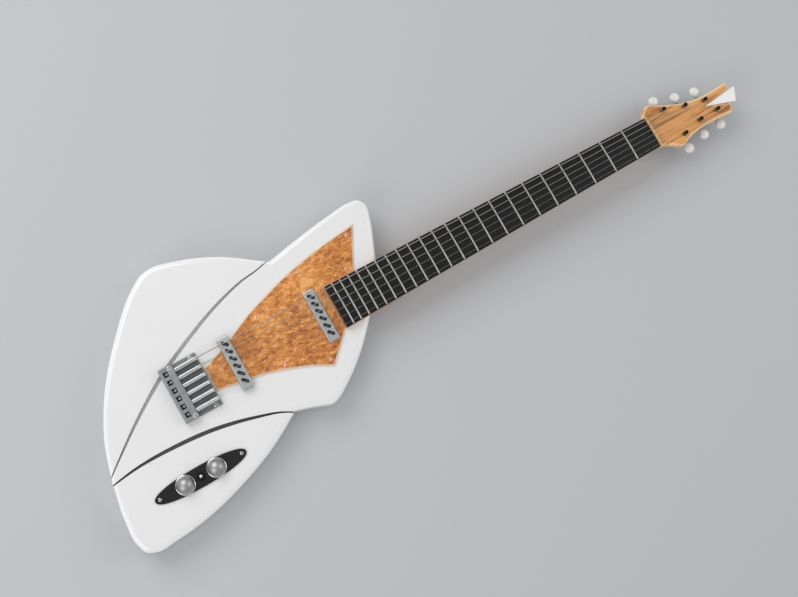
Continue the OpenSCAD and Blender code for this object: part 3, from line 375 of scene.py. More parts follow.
# ---------------------------------------------------------------- materials
def add(tree, kind, inputs=None, to=None, **settings):
    """Adds a node: settings are its properties, inputs its sockets, each a value or another node's output,
    and to is the socket that its first output goes into."""
    node = tree.nodes.new(kind)
    for key, value in settings.items():
        setattr(node, key, value)
    for key, value in (inputs or {}).items():
        if isinstance(value, bpy.types.NodeSocket):
            tree.links.new(value, node.inputs[key])
        else:
            node.inputs[key].default_value = value
    if to:
        tree.links.new(node.outputs[0], to)
    return node


def finish(name, **sockets):
    """An empty finish: its material, its tree and its shader, with constant sockets set on the shader."""
    material = bpy.data.materials.new(name)
    material.use_nodes = True
    tree = material.node_tree
    tree.nodes.clear()
    shader = add(tree, "ShaderNodeBsdfPrincipled", {k.replace("_", " "): v for k, v in sockets.items()})
    add(tree, "ShaderNodeOutputMaterial", {"Surface": shader.outputs[0]})
    return material, tree, shader


def dimmed(c, k):
    """A colour with each channel times k, at most 1."""
    return tuple(min(1.0, k * x) for x in c[:3]) + (1.0,)


def paint(tree, shader, pattern, *stops):
    """Colours the shader by a pattern: (level, colour) pairs, blended in between."""
    ramp = add(tree, "ShaderNodeValToRGB", {"Fac": pattern}, shader.inputs["Base Color"]).color_ramp
    while len(ramp.elements) < len(stops):
        ramp.elements.new(0.5)
    for element, (at, c) in zip(ramp.elements, stops):
        element.position, element.color = at, c


def mottle(tree, mm, detail=2.0, rough=0.5, distortion=0.0, stretch=(1, 1, 1), turn=0.0):
    """A mottled pattern whose patches are so many millimetres wide, stretched and turned about Z."""
    here = add(tree, "ShaderNodeTexCoord").outputs["Object"]
    turned = add(tree, "ShaderNodeMapping", {"Vector": here, "Scale": stretch, "Rotation": (0, 0, turn)})
    values = {"Vector": turned.outputs[0], "Scale": 1 / (mm * MM), "Detail": detail, "Roughness": rough,
              "Distortion": distortion}
    return add(tree, "ShaderNodeTexNoise", values).outputs["Fac"]


def summed(tree, *parts):
    """Sum of patterns, each times its weight."""
    total = 0.0
    for pattern, weight in parts:
        values = {0: pattern, 1: weight, 2: total}
        total = add(tree, "ShaderNodeMath", values, operation="MULTIPLY_ADD").outputs[0]
    return total


def white_lacquer():
    """Polyester lacquer, sprayed and buffed: an even white under clear gloss, with a painted highlight that
    whitens the rounded edges the more they lean, and the faint ripple that spraying leaves every 5 mm."""
    material, tree, shader = finish("White polyester lacquer, sprayed and buffed", Roughness=0.22, IOR=1.5,
                                    Coat_Weight=0.6, Coat_Roughness=0.06)
    normal = add(tree, "ShaderNodeTexCoord").outputs["Normal"]
    up = add(tree, "ShaderNodeSeparateXYZ", {0: normal}).outputs["Z"]
    # Painted highlight: the colour turns from the flat's to the rim colour as the surface leans away from
    # facing up
    edge_highlight_mask = add(tree, "ShaderNodeMapRange", {"Value": up, "From Min": 0.995, "From Max": 0.75}).outputs[0]
    white = tint("body")
    # A colour mix takes its two colours at sockets 6 and 7 and gives its result at 2
    flat = add(tree, "ShaderNodeMix", {"Factor": mottle(tree, 45), 6: white, 7: dimmed(white, 0.965)},
               data_type="RGBA")
    both = add(tree, "ShaderNodeMix", {"Factor": edge_highlight_mask, 6: flat.outputs[2], 7: tint("rim")}, data_type="RGBA")
    tree.links.new(both.outputs[2], shader.inputs["Base Color"])
    add(tree, "ShaderNodeBump", {"Height": mottle(tree, 5, 1), "Strength": 0.04, "Distance": 0.1 * MM},
        shader.inputs["Normal"])
    return material


def groove_lacquer(name, c):
    """Lacquer in a groove, sprayed and left satin: the given colour with a dust-fine speckle. The colour is
    painted light in the upper groove, paler than the body, and painted shade in the lower one, darker than
    it.
    """
    material, tree, shader = finish(name, Roughness=0.45, IOR=1.5)
    paint(tree, shader, mottle(tree, 2, 3), (0.3, dimmed(c, 0.8)), (0.7, c))
    return material


def figured_veneer():
    """Quilted maple burl veneer, stained amber and lacquered: small blistered waves about 6 mm long that run
    slantwise, clouds of darker stain 46 mm across, and fine pores, all under a deep clear coat. The colour
    is paler towards the bass side, by an even slope over 140 mm."""
    material, tree, shader = finish("Burl maple veneer, amber stain under clear lacquer", Roughness=0.38,
                                    IOR=1.5, Coat_Weight=0.8, Coat_Roughness=0.08)
    wobble = mottle(tree, 11, stretch=(1, 1.9, 1), turn=0.6)
    blister = mottle(tree, 6.5, 3.5, 0.6, 1.1, (1, 1.9, 1), 0.6)
    cloud = mottle(tree, 46, 2, 0.5, 0.4)
    pores = mottle(tree, 1.3, 2, 0.7, stretch=(1, 3, 1), turn=0.6)
    here = add(tree, "ShaderNodeTexCoord").outputs["Object"]
    across = add(tree, "ShaderNodeSeparateXYZ", {0: here}).outputs["Y"]
    slope = add(tree, "ShaderNodeMapRange", {"Value": across, "From Min": -60 * MM, "From Max": 80 * MM,
                                             "To Min": -0.03, "To Max": 0.05}).outputs[0]
    stain = summed(tree, (wobble, 0.35), (blister, 0.62), (pores, 0.12), (cloud, 0.34), (slope, 1.0))
    dark, mid, light = tint("guard_dark"), tint("guard_mid"), tint("guard_light")
    paint(tree, shader, stain, (0.6, dark), (0.7, mid), (0.73, mid), (0.83, light))
    add(tree, "ShaderNodeBump", {"Height": blister, "Strength": 0.12, "Distance": 0.15 * MM},
        shader.inputs["Normal"])
    return material


def pale_core():
    """Maple core of the guard, cut at a slant and lacquered: cream, with thin layer lines along the cut."""
    material, tree, shader = finish("Maple core, cut and lacquered", Roughness=0.35, IOR=1.5, Coat_Weight=0.4)
    c = tint("guard_edge")
    paint(tree, shader, mottle(tree, 1.6, stretch=(0.15, 0.15, 3)), (0.35, dimmed(c, 0.82)), (0.6, c))
    return material


def neck_wood_finish(name, base, dark, rough):
    """Maple, planed and oiled: bold grain stripes 4 mm wide that run the length of the neck, a slow drift of
    colour 24 mm wide, and short dark pores."""
    material, tree, shader = finish(name, Roughness=rough, IOR=1.48, Coat_Weight=0.25, Coat_Roughness=0.2)
    drift = mottle(tree, 24, 2, 0.5, 0.6, (0.35, 1, 1))
    lines = mottle(tree, 4.2, 3, 0.55, 0.5, (0.06, 1, 1), 0.05)
    pores = mottle(tree, 0.9, 2, 0.6, stretch=(0.09, 1, 1))
    paint(tree, shader, summed(tree, (drift, 0.3), (lines, 0.6), (pores, 0.16)),
          (0.42, dark), (0.52, base), (0.64, dimmed(base, 1.2)))
    add(tree, "ShaderNodeBump", {"Height": lines, "Strength": 0.1, "Distance": 0.08 * MM},
        shader.inputs["Normal"])
    return material


def ebony():
    """Ebony, sanded and oiled: near black, with long pores that catch a little light."""
    material, tree, shader = finish("Ebony, sanded and oiled", Roughness=0.5, IOR=1.36)
    pores = mottle(tree, 1.1, 3, 0.6, stretch=(0.06, 1, 1))
    c = tint("board")
    paint(tree, shader, pores, (0.35, dimmed(c, 0.6)), (0.62, c), (0.8, dimmed(c, 2.2)))
    add(tree, "ShaderNodeBump", {"Height": pores, "Strength": 0.2, "Distance": 0.06 * MM},
        shader.inputs["Normal"])
    return material


def metal(name, colour_in, rough, brushed=None, spread=0.08, wear=0.06):
    """Plated or plain metal: a full metal in its own colour, dimmed by wear in patches 8 mm wide, where its
    roughness drifts by spread too. Where it is brushed, brushed stretches the pattern of its lines."""
    material, tree, shader = finish(name, Metallic=1.0)
    cloud = mottle(tree, 8, 3)
    add(tree, "ShaderNodeMapRange", {"Value": cloud, "From Min": 0.3, "From Max": 0.7,
                                     "To Min": rough - spread / 2, "To Max": rough + spread / 2},
        shader.inputs["Roughness"])
    paint(tree, shader, cloud, (0.35, dimmed(colour_in, 1 - wear)), (0.6, dimmed(colour_in, 1)))
    if brushed:
        add(tree, "ShaderNodeBump", {"Height": mottle(tree, 0.7, stretch=brushed), "Strength": 0.12,
                                     "Distance": 0.04 * MM}, shader.inputs["Normal"])
    return material


def moulded(name, colour_in, rough, grit=0.8, strength=0.08):
    """Moulded plastic or cast resin: an even colour with a fine skin whose grains are grit mm wide."""
    material, tree, shader = finish(name, IOR=1.5)
    grain = mottle(tree, grit)
    add(tree, "ShaderNodeMapRange", {"Value": grain, "To Min": rough - 0.05, "To Max": rough + 0.05},
        shader.inputs["Roughness"])
    paint(tree, shader, grain, (0.3, dimmed(colour_in, 0.9)), (0.7, dimmed(colour_in, 1)))
    add(tree, "ShaderNodeBump", {"Height": grain, "Strength": strength, "Distance": 0.05 * MM},
        shader.inputs["Normal"])
    return material


def pearloid():
    """Pearloid celluloid, cast and polished: white with drifting grey swirls 4 mm wide under clear gloss."""
    material, tree, shader = finish("Pearloid celluloid, polished", Roughness=0.16, IOR=1.5, Coat_Weight=0.5)
    c = tint("pearl")
    paint(tree, shader, mottle(tree, 4, 2, 0.5, 1.6), (0.3, dimmed(c, 0.84)), (0.6, c))
    return material


def wound_wire():
    """Nickel-plated steel wound on steel: a bright wire with ridges across it. The real winding is 0.3 mm
    apart, too fine to show, so the ridges are 0.9 mm apart."""
    material, tree, shader = finish("Steel string, nickel wound", Metallic=1.0, Roughness=0.42,
                                    Base_Color=(*linear("#A6A39C"), 1))
    here = add(tree, "ShaderNodeTexCoord").outputs["Object"]
    # A wave's bands are 2 pi / 20 apart at scale 1
    scale = 6.283 / 20 / (0.9 * MM)
    along = add(tree, "ShaderNodeTexWave", {"Vector": here, "Scale": scale, "Distortion": 0.0},
                wave_type="BANDS", bands_direction="X")
    add(tree, "ShaderNodeBump", {"Height": along.outputs["Fac"], "Strength": 0.5, "Distance": 0.1 * MM},
        shader.inputs["Normal"])
    return material


def plain_wire():
    """Tinned plain steel string: smooth and bright, with faint drawing lines along it."""
    return metal("Steel string, plain drawn", linear("#B2B0AB"), 0.35, (0.05, 1, 1), 0.05, 0.1)


def paper():
    """Matt background paper: an even pale grey, whose fibres, too fine to show, are drawn 2.5 mm wide."""
    material, tree, shader = finish("Background paper, matt", Roughness=0.9, IOR=1.4)
    c = tint("floor")
    paint(tree, shader, mottle(tree, 2.5, 3), (0.3, dimmed(c, 0.98)), (0.7, c))
    return material


FINISHES = {}


def finishes():
    """Every finish, made once. Each is named for the real material."""
    if not FINISHES:
        FINISHES.update({
            "white": white_lacquer(),
            "groove_high": groove_lacquer("Satin white lacquer, painted light in the groove", tint("groove_high")),
            "groove_low": groove_lacquer("Satin white lacquer, painted shade in the groove", tint("groove_low")),
            "veneer": figured_veneer(),
            "core": pale_core(),
            "maple": neck_wood_finish("Maple, planed and oiled", tint("head"), tint("head_dark"), 0.45),
            "maple_edge": neck_wood_finish("Maple end cut, scraped", tint("head_edge"), tint("head"), 0.5),
            "ebony": ebony(),
            "pearl": pearloid(),
            "wound": wound_wire(),
            "plain": plain_wire(),
            # Nickel silver wire, filed and polished: slightly warm and bright
            "fret": metal("Nickel silver wire, polished", linear("#C0BFBB"), 0.34),
            # Nickel plate with a satin brush: grey, soft reflections
            "satin": metal("Nickel plate, satin brushed", tint("satin"), 0.34, (1, 0.05, 1)),
            # Zinc die casting under the same plate, a little greyer
            "cast": metal("Zinc casting, satin nickel plate", linear("#9C9FA0"), 0.4, (0.05, 1, 1)),
            # The same casting, rougher and painted darker as shade in the wells and on the bed between the
            # saddles
            "dark_cast": metal("Zinc casting, painted shade", linear("#8A8C8E"), 0.6, (0.05, 1, 1)),
            # Chrome plate, buffed: near mirror
            "chrome": metal("Chrome plate, buffed", linear("#D8D8D8"), 0.07, None, 0.04, 0.02),
            # Black nickel plate: a dark mirror
            "black_nickel": metal("Black nickel plate", linear("#2B2826"), 0.3),
            # Chrome plate over a blasted dome: soft grey reflections
            "satin_chrome": metal("Chrome plate, blasted", linear("#ACACAC"), 0.42, None, 0.05, 0.05),
            "rose": metal("Rose-tinted nickel plate", tint("rose"), 0.22),
            "steel": metal("Steel, zinc plated", linear("#9A9C9E"), 0.4),
            "bone": moulded("Bone, stained amber and polished", linear("#CFA873"), 0.25, 1.2),
            "acrylic": moulded("Black acrylic, polished", tint("plate"), 0.1, 4.0, 0.02),
            "abs": moulded("Black ABS, moulded", linear("#1B1B1B"), 0.5),
            "pvc": moulded("PVC insulation, extruded", linear("#23262A"), 0.4),
            "paper": paper(),
        })
    return FINISHES


def dress(node, key):
    """Gives a CAD node its finish."""
    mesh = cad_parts[node].data
    mesh.materials.clear()
    mesh.materials.append(finishes()[key])


# ---------------------------------------------------------------- pieces
def to_power(v, p):
    """Size of v to the power p, with v's sign."""
    return np.sign(v) * np.abs(v) ** p


def board_half(x):
    """Half width of the fingerboard at x: NUT_HALF_W at the nut, and more by TAPER at its body end."""
    return NUT_HALF_W + (NUT_X - x) * TAPER / (NUT_X - NECK_END)


def string_y(i, pitch):
    """Distance of string i from the middle, where strings are pitch apart."""
    return (i - (STRING_COUNT - 1) / 2) * pitch


def crown(y):
    """Height of the fingerboard's crown at y: an arc of radius BOARD_R whose top is at BOARD_Z."""
    return BOARD_Z - BOARD_R + np.sqrt(BOARD_R ** 2 - y ** 2)


def band(line, scale, extra):
    """Outline round a centre line: half of (end width + (width - end width) sin of the way along) times
    scale, plus extra, to each side of it."""
    c = smooth_run(line, 6)
    d = np.gradient(c, axis=0)
    n = np.stack([-d[:, 1], d[:, 0]], 1) / np.linalg.norm(d, axis=1)[:, None]
    way = np.sin(np.pi * np.arange(len(c)) / (len(c) - 1))
    half = (size("groove_end_w") + (size("groove_w") - size("groove_end_w")) * way) * scale / 2 + extra
    return np.concatenate([c - n * half[:, None], (c + n * half[:, None])[::-1]])


def at_strap_cups(shape):
    """The shape at both strap cups, its Z out of the body's edge."""
    return [placed(shape, (*at, EDGE_Z), (0, 0, 1), (*out, 0)) for at, out in STRAP_CUPS]


class GUITAR_OT_body(bpy.types.Operator):
    """White body in one slab with two carved grooves and the seats of what is let into it"""
    bl_idname = "guitar.body"
    bl_label = "Body"

    def execute(self, context):
        runs = (UPPER_WING, BLADE_TOP, BLADE_BOTTOM, LOWER_WING)
        outline = np.concatenate([smooth_run(run, 3.0) for run in runs])[::-1]
        profile = edges(0, FRONT_Z, size("back_edge"), size("front_edge"), 9, 1.5)
        shell = build("body_shell", plate(outline, profile), "white groove_high groove_low maple",
                      "gloss_white", ["body"])
        cutters = []
        floor = FRONT_Z - size("groove_depth")
        # The groove walls and floors take the groove finishes: painted light in the upper groove, painted
        # shade in the lower one
        for line, mat in ((UPPER_GROOVE, 1), (LOWER_GROOVE, 2)):
            levels = [(0.55, 0, floor), (1, 0, floor + 1.2), (1, 0, FRONT_Z - 0.5), (1, 2.0, FRONT_Z + 1.5)]
            P = stacked([(band(line, scale, extra), z) for scale, extra, z in levels])
            cutters.append(skin(P, mat=mat, row_mats=[mat, mat, 0]))
        gap, past_edge = 0.2, HEEL_END + 60
        pocket = [(x, side * (board_half(x) + gap)) for x, side in
                  ((NECK_END - gap, -1), (past_edge, -1), (past_edge, 1), (NECK_END - gap, 1))]
        cutters.append(plate(np.array(pocket), [(0, POCKET_Z), (0, FRONT_Z + 20)], mat=3))
        cutters.append(placed(plate(box_outline(36.4, 22.4, 4), [(0, 0), (0, 20)]), *JACK_SEAT))
        cutters.append(placed(lathe([(7.2, -30), (7.2, 1)]), *JACK_SEAT))
        cutters += at_strap_cups(lathe([(6.2, -14.2), (6.2, -1.9), (8.2, -1.9), (8.2, 20)]))
        cutters.append(plate(box_outline(28.4, 50.4, 5, (NECK_PLATE_X + 14, 0)), [(0, -5), (0, 1.9)]))
        carve(shell, cutters, 30)
        return {"FINISHED"}


def neck_ring(x):
    """Section of the neck at x: y = half width times cos a to a power, z = under the fingerboard by the depth
    times sin a to the same power, a from 180 to 0 degrees. The depth runs from the heel's to the head's by
    two smooth steps, and the power squares the section where it meets them."""
    def step(t):
        u = np.clip(t, 0, 1)
        return u * u * (3 - 2 * u)
    x = x[:, None]
    base = SHAFT_DEPTH - 3 * (x - HEEL_END) / (NUT_X - HEEL_END)
    depth = (base + (HEEL_DEPTH - base) * step((HEEL_END + 34 - x) / 34)
             + (NECK_Z - HEAD_BACK_Z - base) * step((x - NUT_X + 26) / 26))
    power = 2 / (2.2 + 6 * step((HEEL_END + 26 - x) / 30) + 5 * step((x - NUT_X + 14) / 16))
    a = np.linspace(np.pi, 0, 41)[None, :]
    y = board_half(np.minimum(x, NUT_X)) * to_power(np.cos(a), power)
    return np.stack([np.broadcast_to(x, y.shape), y, NECK_Z - depth * np.abs(np.sin(a)) ** power], -1)


class GUITAR_OT_neck(bpy.types.Operator):
    """Neck in one piece of maple, from the bolted heel to the forked head, and the white fin in the fork"""
    bl_idname = "guitar.neck"
    bl_label = "Neck, head and fin"

    def execute(self, context):
        ends = ((NECK_END, -1), (HEEL_END, -1), (HEEL_END, 1), (NECK_END, 1))
        heel = np.array([(x, side * board_half(x)) for x, side in ends])
        shaft = skin(neck_ring(np.linspace(HEEL_END - 4, NUT_X + 3.5, 110)))
        head = np.concatenate([
            [(649, 21), (652, 25)],
            smooth_run([(657, 31), (661, 33.6), (665, 34.8), (669, 34)], 1.5),
            smooth_run([(669, 34), (681, 28.2), (700, 19.5), (715, 14.6), (735, 11.6), (760, 11.2),
                        (781, 12.5)], 4),
            [(781, 12.5), (778, 2), FORK, (772, -14.2)],
            smooth_run([(767, -26.8), (748, -25.2), (725, -24.6), (706, -26.8), (691, -31), (684, -34.5)], 4),
            smooth_run([(684, -34.5), (677, -33), (668, -26.5), (660, -23), (649, -21)], 3),
            [(649, -21)]])[::-1]
        shift = np.array([NUT_X - DRAWN_NUT_X, 0])
        head = head + shift
        w = size("head_bevel")
        # The back edge is rounded, less near the nut and on the arms of the fork
        x = head[:, :1] - NUT_X
        ease = np.interp(x, [2, 16, 84, 100], [0.05, 1, 1, 0.5])
        back = [(5 * ease * (1 - np.sin(t)), HEAD_BACK_Z + 6.5 * (1 - np.cos(t)))
                for t in np.linspace(0, np.pi / 2, 6)]
        profile = back + [(0, HEAD_Z - 0.8 * w), (w, HEAD_Z)]
        build("neck_wood", join([plate(heel, edges(POCKET_Z, NECK_Z, 0.6, 0.3, 3, 0.3)), shaft]),
              "maple maple_edge", "head_wood", ["neck"])
        face = build("head_wood", plate(head, profile, row_mats=[0, 0, 0, 1, 1, 1, 1]),
                     "maple maple_edge", "head_wood")
        hole_r = POST_R + 0.3
        hole = [(4.4, HEAD_BACK_Z - 5), (4.4, BUSHING_TOP), (hole_r, BUSHING_TOP), (hole_r, HEAD_Z + 5)]
        carve(face, [placed(lathe(hole, 40), (*p, 0)) for p in POSTS], 30, False)
        # The fin fills the fork with a gap to both arms, whose sides rise and fall by these slopes
        up, down, gap = 4.6 / 44, 11.6 / 38, 0.3
        fin = np.array([(4, 4 * up - gap), (4, -4 * down + gap), (45, -45 * down + gap), (54, 54 * up - gap)])
        fin = filleted(fin, 0.5, 4) + FORK + shift
        build("fin_wedge", plate(fin, edges(HEAD_BACK_Z + 1.5, HEAD_Z + 0.5, 0.12, 0.16, 4, 0.04)),
              "white", "gloss_white", ["head_fin"], 30)
        return {"FINISHED"}


class GUITAR_OT_board(bpy.types.Operator):
    """Crowned ebony fingerboard, its frets and the bone nut"""
    bl_idname = "guitar.board"
    bl_label = "Fingerboard, frets and nut"

    def execute(self, context):
        # Section across the board: flat below, straight sides, an eased edge and the crown on top
        x = np.linspace(NECK_END, NUT_X, 24)[:, None]
        half = board_half(x)
        eased = 0.02 * (1 - np.cos(np.linspace(0, np.pi / 2, 4)))[1:3]
        s = np.concatenate([[-1, -1], -1 + eased, np.linspace(-0.975, 0.975, 21), 1 - eased[::-1], [1, 1]])
        y = half * s
        z = crown(y) - 0.5 * np.clip((np.abs(s) - 0.975) / 0.025, 0, 1) ** 2
        z[:, [0, -1]] = NECK_Z
        P = np.stack([np.broadcast_to(x, y.shape), y, z], -1)[:, ::-1]
        build("fingerboard_top", skin(P), "ebony", "board_wood", ["fingerboard"])
        # A fret is a half ellipse carried across the crown, sloped down at its ends
        a = np.linspace(np.pi, 0, 9)
        t = np.concatenate([[-1, -0.985, -0.96], np.linspace(-0.94, 0.94, 15), [0.96, 0.985, 1]])
        rise = np.interp(np.abs(t), [0, 0.96, 1], [1, 1, 0.25])
        w, h, sunk = size("fret_w"), size("fret_h"), 0.15
        frets = []
        for n in range(1, FRET_COUNT + 1):
            fx = NUT_X * 2 ** (-n / 12)
            yy = (board_half(fx) - 0.3) * t
            z = crown(yy)[:, None] - sunk + (h + sunk) * rise[:, None] * np.sin(a)
            frets.append(skin(np.stack([np.broadcast_to(fx + w / 2 * np.cos(a), z.shape),
                                        np.broadcast_to(yy[:, None], z.shape), z], -1)))
        build("fret_wires", join(frets), "fret", "fret_metal", ["frets"], 60)
        # The nut is its own front view, with six round-bottomed slots, carried through its thickness
        y = np.linspace(NUT_HALF_W, -NUT_HALF_W, 337)
        top = NUT_TOP - 0.6 * (np.abs(y) / NUT_HALF_W) ** 2
        for i in range(STRING_COUNT):
            r = STRING_R[i] + 0.08
            off = np.abs(y - string_y(i, NUT_PITCH))
            top = np.where(off < r, NUT_SLOT_Z - np.sqrt(np.maximum(r * r - off * off, 0)), top)
        view = np.concatenate([[(-NUT_HALF_W, NECK_Z), (NUT_HALF_W, NECK_Z)], np.column_stack([y, top])])
        thick = NUT_END - NUT_X
        ease = [(0.25, 0), (0, 0.25), (0, thick - 0.25), (0.25, thick)]
        centre = np.array([0, (NECK_Z + NUT_TOP) / 2])
        P = np.stack([np.column_stack([np.full(len(view), NUT_X + d),
                                       centre + (view - centre) * (1 - e / 10)]) for e, d in ease])
        build("nut_bone_block", skin(P), "bone", "nut_bone", ["nut"], 40)
        return {"FINISHED"}


class GUITAR_OT_guard(bpy.types.Operator):
    """Figured pickguard with a pale slanted edge, and its six domed screws"""
    bl_idname = "guitar.guard"
    bl_label = "Pickguard"

    def execute(self, context):
        k, gap = NECK_END / 172.5, 0.5
        line = np.concatenate([
            [(-1.6, -19), (-1.6, 12.6)], smooth_run(GUARD_TOP, 6) * (k, 1), [(243.8 * k, 81.8)],
            [(215 * k, board_half(215 * k) + gap), (NECK_END - gap, board_half(NECK_END) + gap),
             (NECK_END - gap, -board_half(NECK_END) + 1), (138 * k, -60.5)],
            smooth_run(GUARD_BOTTOM, 6) * (k, 1), [(22 * k, -22.5)]])[::-1]
        b = size("guard_bevel")
        profile = [(0, FRONT_Z), (0, GUARD_Z - min(b, 2.2)), (b, GUARD_Z)]
        build("guard_plate", plate(line, profile, row_mats=[1, 1]), "veneer core", "guard_wood",
              ["pickguard"], 20)
        heads = [placed(screw_head(2.4, 0.9), (x * k, y, GUARD_Z)) for x, y in GUARD_SCREWS]
        build("guard_screw_heads", join(heads), "rose", "screw_rose", ["pickguard_screws"], 50)
        return {"FINISHED"}


class GUITAR_OT_pickups(bpy.types.Operator):
    """Two pickup covers with round edges and six slanted slots each, over their black coils"""
    bl_idname = "guitar.pickups"
    bl_label = "Pickups"

    def execute(self, context):
        top = span("bridge_pickup_cover")[1][2]
        l, w = size("slot_l"), size("slot_w")
        for name in ("bridge", "neck"):
            x = middle(f"{name}_pickup_cover", 0)
            # The top is in narrow rings, each with its own corners, so that no slot lies inside one face
            rings = [(3.4, top), (4.8, top), (6.2, top)]
            profile = np.vstack([edges(GUARD_Z, top, 0.05, 1.6, 7, 0.4), rings])
            P = stacked([(box_outline(COVER_L - 2 * d, COVER_W - 2 * d, max(2.2 - d, 0.25), (x, 0), 8), z)
                         for d, z in profile])
            case = build(f"{name}_pickup_case", skin(P), "satin abs", "nickel", [f"{name}_pickup_cover"])
            # Each slot's floor, walls and flared rim take the second finish, black ABS: the floor and walls
            # stand for the black coil under the thin cover, and the flared rim round the opening is painted
            # black as shade
            slot = plate(box_outline(l, w, w * 0.4, steps=8),
                         [(0, top - 2.5), (0, top - 0.6), (-0.9, top + 0.3)], row_mats=[1, 1])
            carve(case, [placed(slot, (x + 0.3, string_y(i, 10) + 0.6, 0), (1, -1, 0))
                         for i in range(STRING_COUNT)])
            dress(f"{name}_pickup_coil", "abs")
        return {"FINISHED"}


def string_height(x):
    """Height of a string at x between its anchor and its nut slot."""
    return np.where(x < CREST[0], np.interp(x, [ANCHOR[0], CREST[0]], [ANCHOR[1], CREST[1]]),
                    np.interp(x, [CREST[0], NUT_X], [CREST[1], NUT_SLOT_Z]))


class GUITAR_OT_bridge(bpy.types.Operator):
    """Cast bridge with a channel of six wells, six round-nosed saddles and its screws"""
    bl_idname = "guitar.bridge"
    bl_label = "Bridge"

    def execute(self, context):
        (x0, x1), top, low, hw = BLOCK_X, BLOCK_TOP, FRONT_Z, BRIDGE_HALF_W
        lip = low + 2
        side = filleted([(x0, low), (BASE_END_X, low), (BASE_END_X, lip), (x1, lip), (x1, top), (x0, top)],
                        0.9, 4)
        solid = plate(side, [(0.4, -hw), (0, 0.4 - hw), (0, hw - 0.4), (0.4, hw)])
        base = build("bridge_casting", placed(solid, (0, 0, 0), (1, 0, 0), (0, -1, 0)), "cast dark_cast",
                     "bridge_metal", ["bridge_base"])
        # The bed between the saddles and the six string wells take the second finish, painted shade; the
        # shallow channel of wells keeps the plain casting
        cutters = [plate(box_outline(6.5, 2 * hw - 5, 1.2, (WELL_X, 0)), [(0, top - 1.6), (0, top + 2)]),
                   plate(box_outline(29.4, 2 * hw - 2, 0.5, (CHANNEL_X, 0)), [(0, low + 1.9), (0, top - 1)],
                         mat=1)]
        cutters += [plate(box_outline(6.3, 6.5, 1.2, (WELL_X, string_y(i, SADDLE_PITCH))),
                          [(0, low + 1.2), (0, top + 1)], mat=1) for i in range(STRING_COUNT)]
        carve(base, cutters)
        # A saddle is a flat-sided rounded section carried forward: its top follows the string, then turns
        # down over the crest by a quarter circle to a round nose
        w, r = size("saddle_w"), 1.6
        u = np.concatenate([[-32.6, -32.5], np.linspace(-32, -5.5, 14)])
        nose = np.linspace(np.pi * 0.6, 0, 9)
        a = np.linspace(0, np.pi, 25)
        x = np.concatenate([u, CREST[0] + (r - 0.1) * np.cos(nose)])
        width = np.concatenate([[w - 0.5], np.full(len(u) - 1, w), np.linspace(w, 0.7 * w, 9)])
        yy = width[:, None] / 2 * to_power(np.cos(a), 0.45)
        z0, rear = low + 2.2, -32.8
        saddles = []
        for i in range(STRING_COUNT):
            crest = CREST[1] - STRING_R[i] - 0.05
            ramp = np.interp(u, [rear, CREST[0] - 1], [float(string_height(rear)) - 0.6, crest - 0.3])
            h = np.concatenate([ramp - STRING_R[i] * 0.5, crest - r + r * np.sin(nose)])
            h[0] -= 0.4
            h[-1] = low + 2.6
            zz = z0 + (h[:, None] - z0) * np.abs(np.sin(a)) ** 0.3
            P = np.stack([np.broadcast_to(x[:, None], yy.shape), string_y(i, SADDLE_PITCH) + yy, zz], -1)
            saddles.append(skin(P))
        build("saddle_fingers", join(saddles), "satin", "bridge_metal", ["saddles"], 50)
        heads = [placed(screw_head(2.8, 0.8), (x, y, z)) for x, y, z in BRIDGE_SCREWS]
        build("bridge_screw_heads", join(heads), "satin", "nickel", ["bridge_screws"], 50)
        for node in ("intonation_screws", "height_screws"):
            dress(node, "steel")
        return {"FINISHED"}


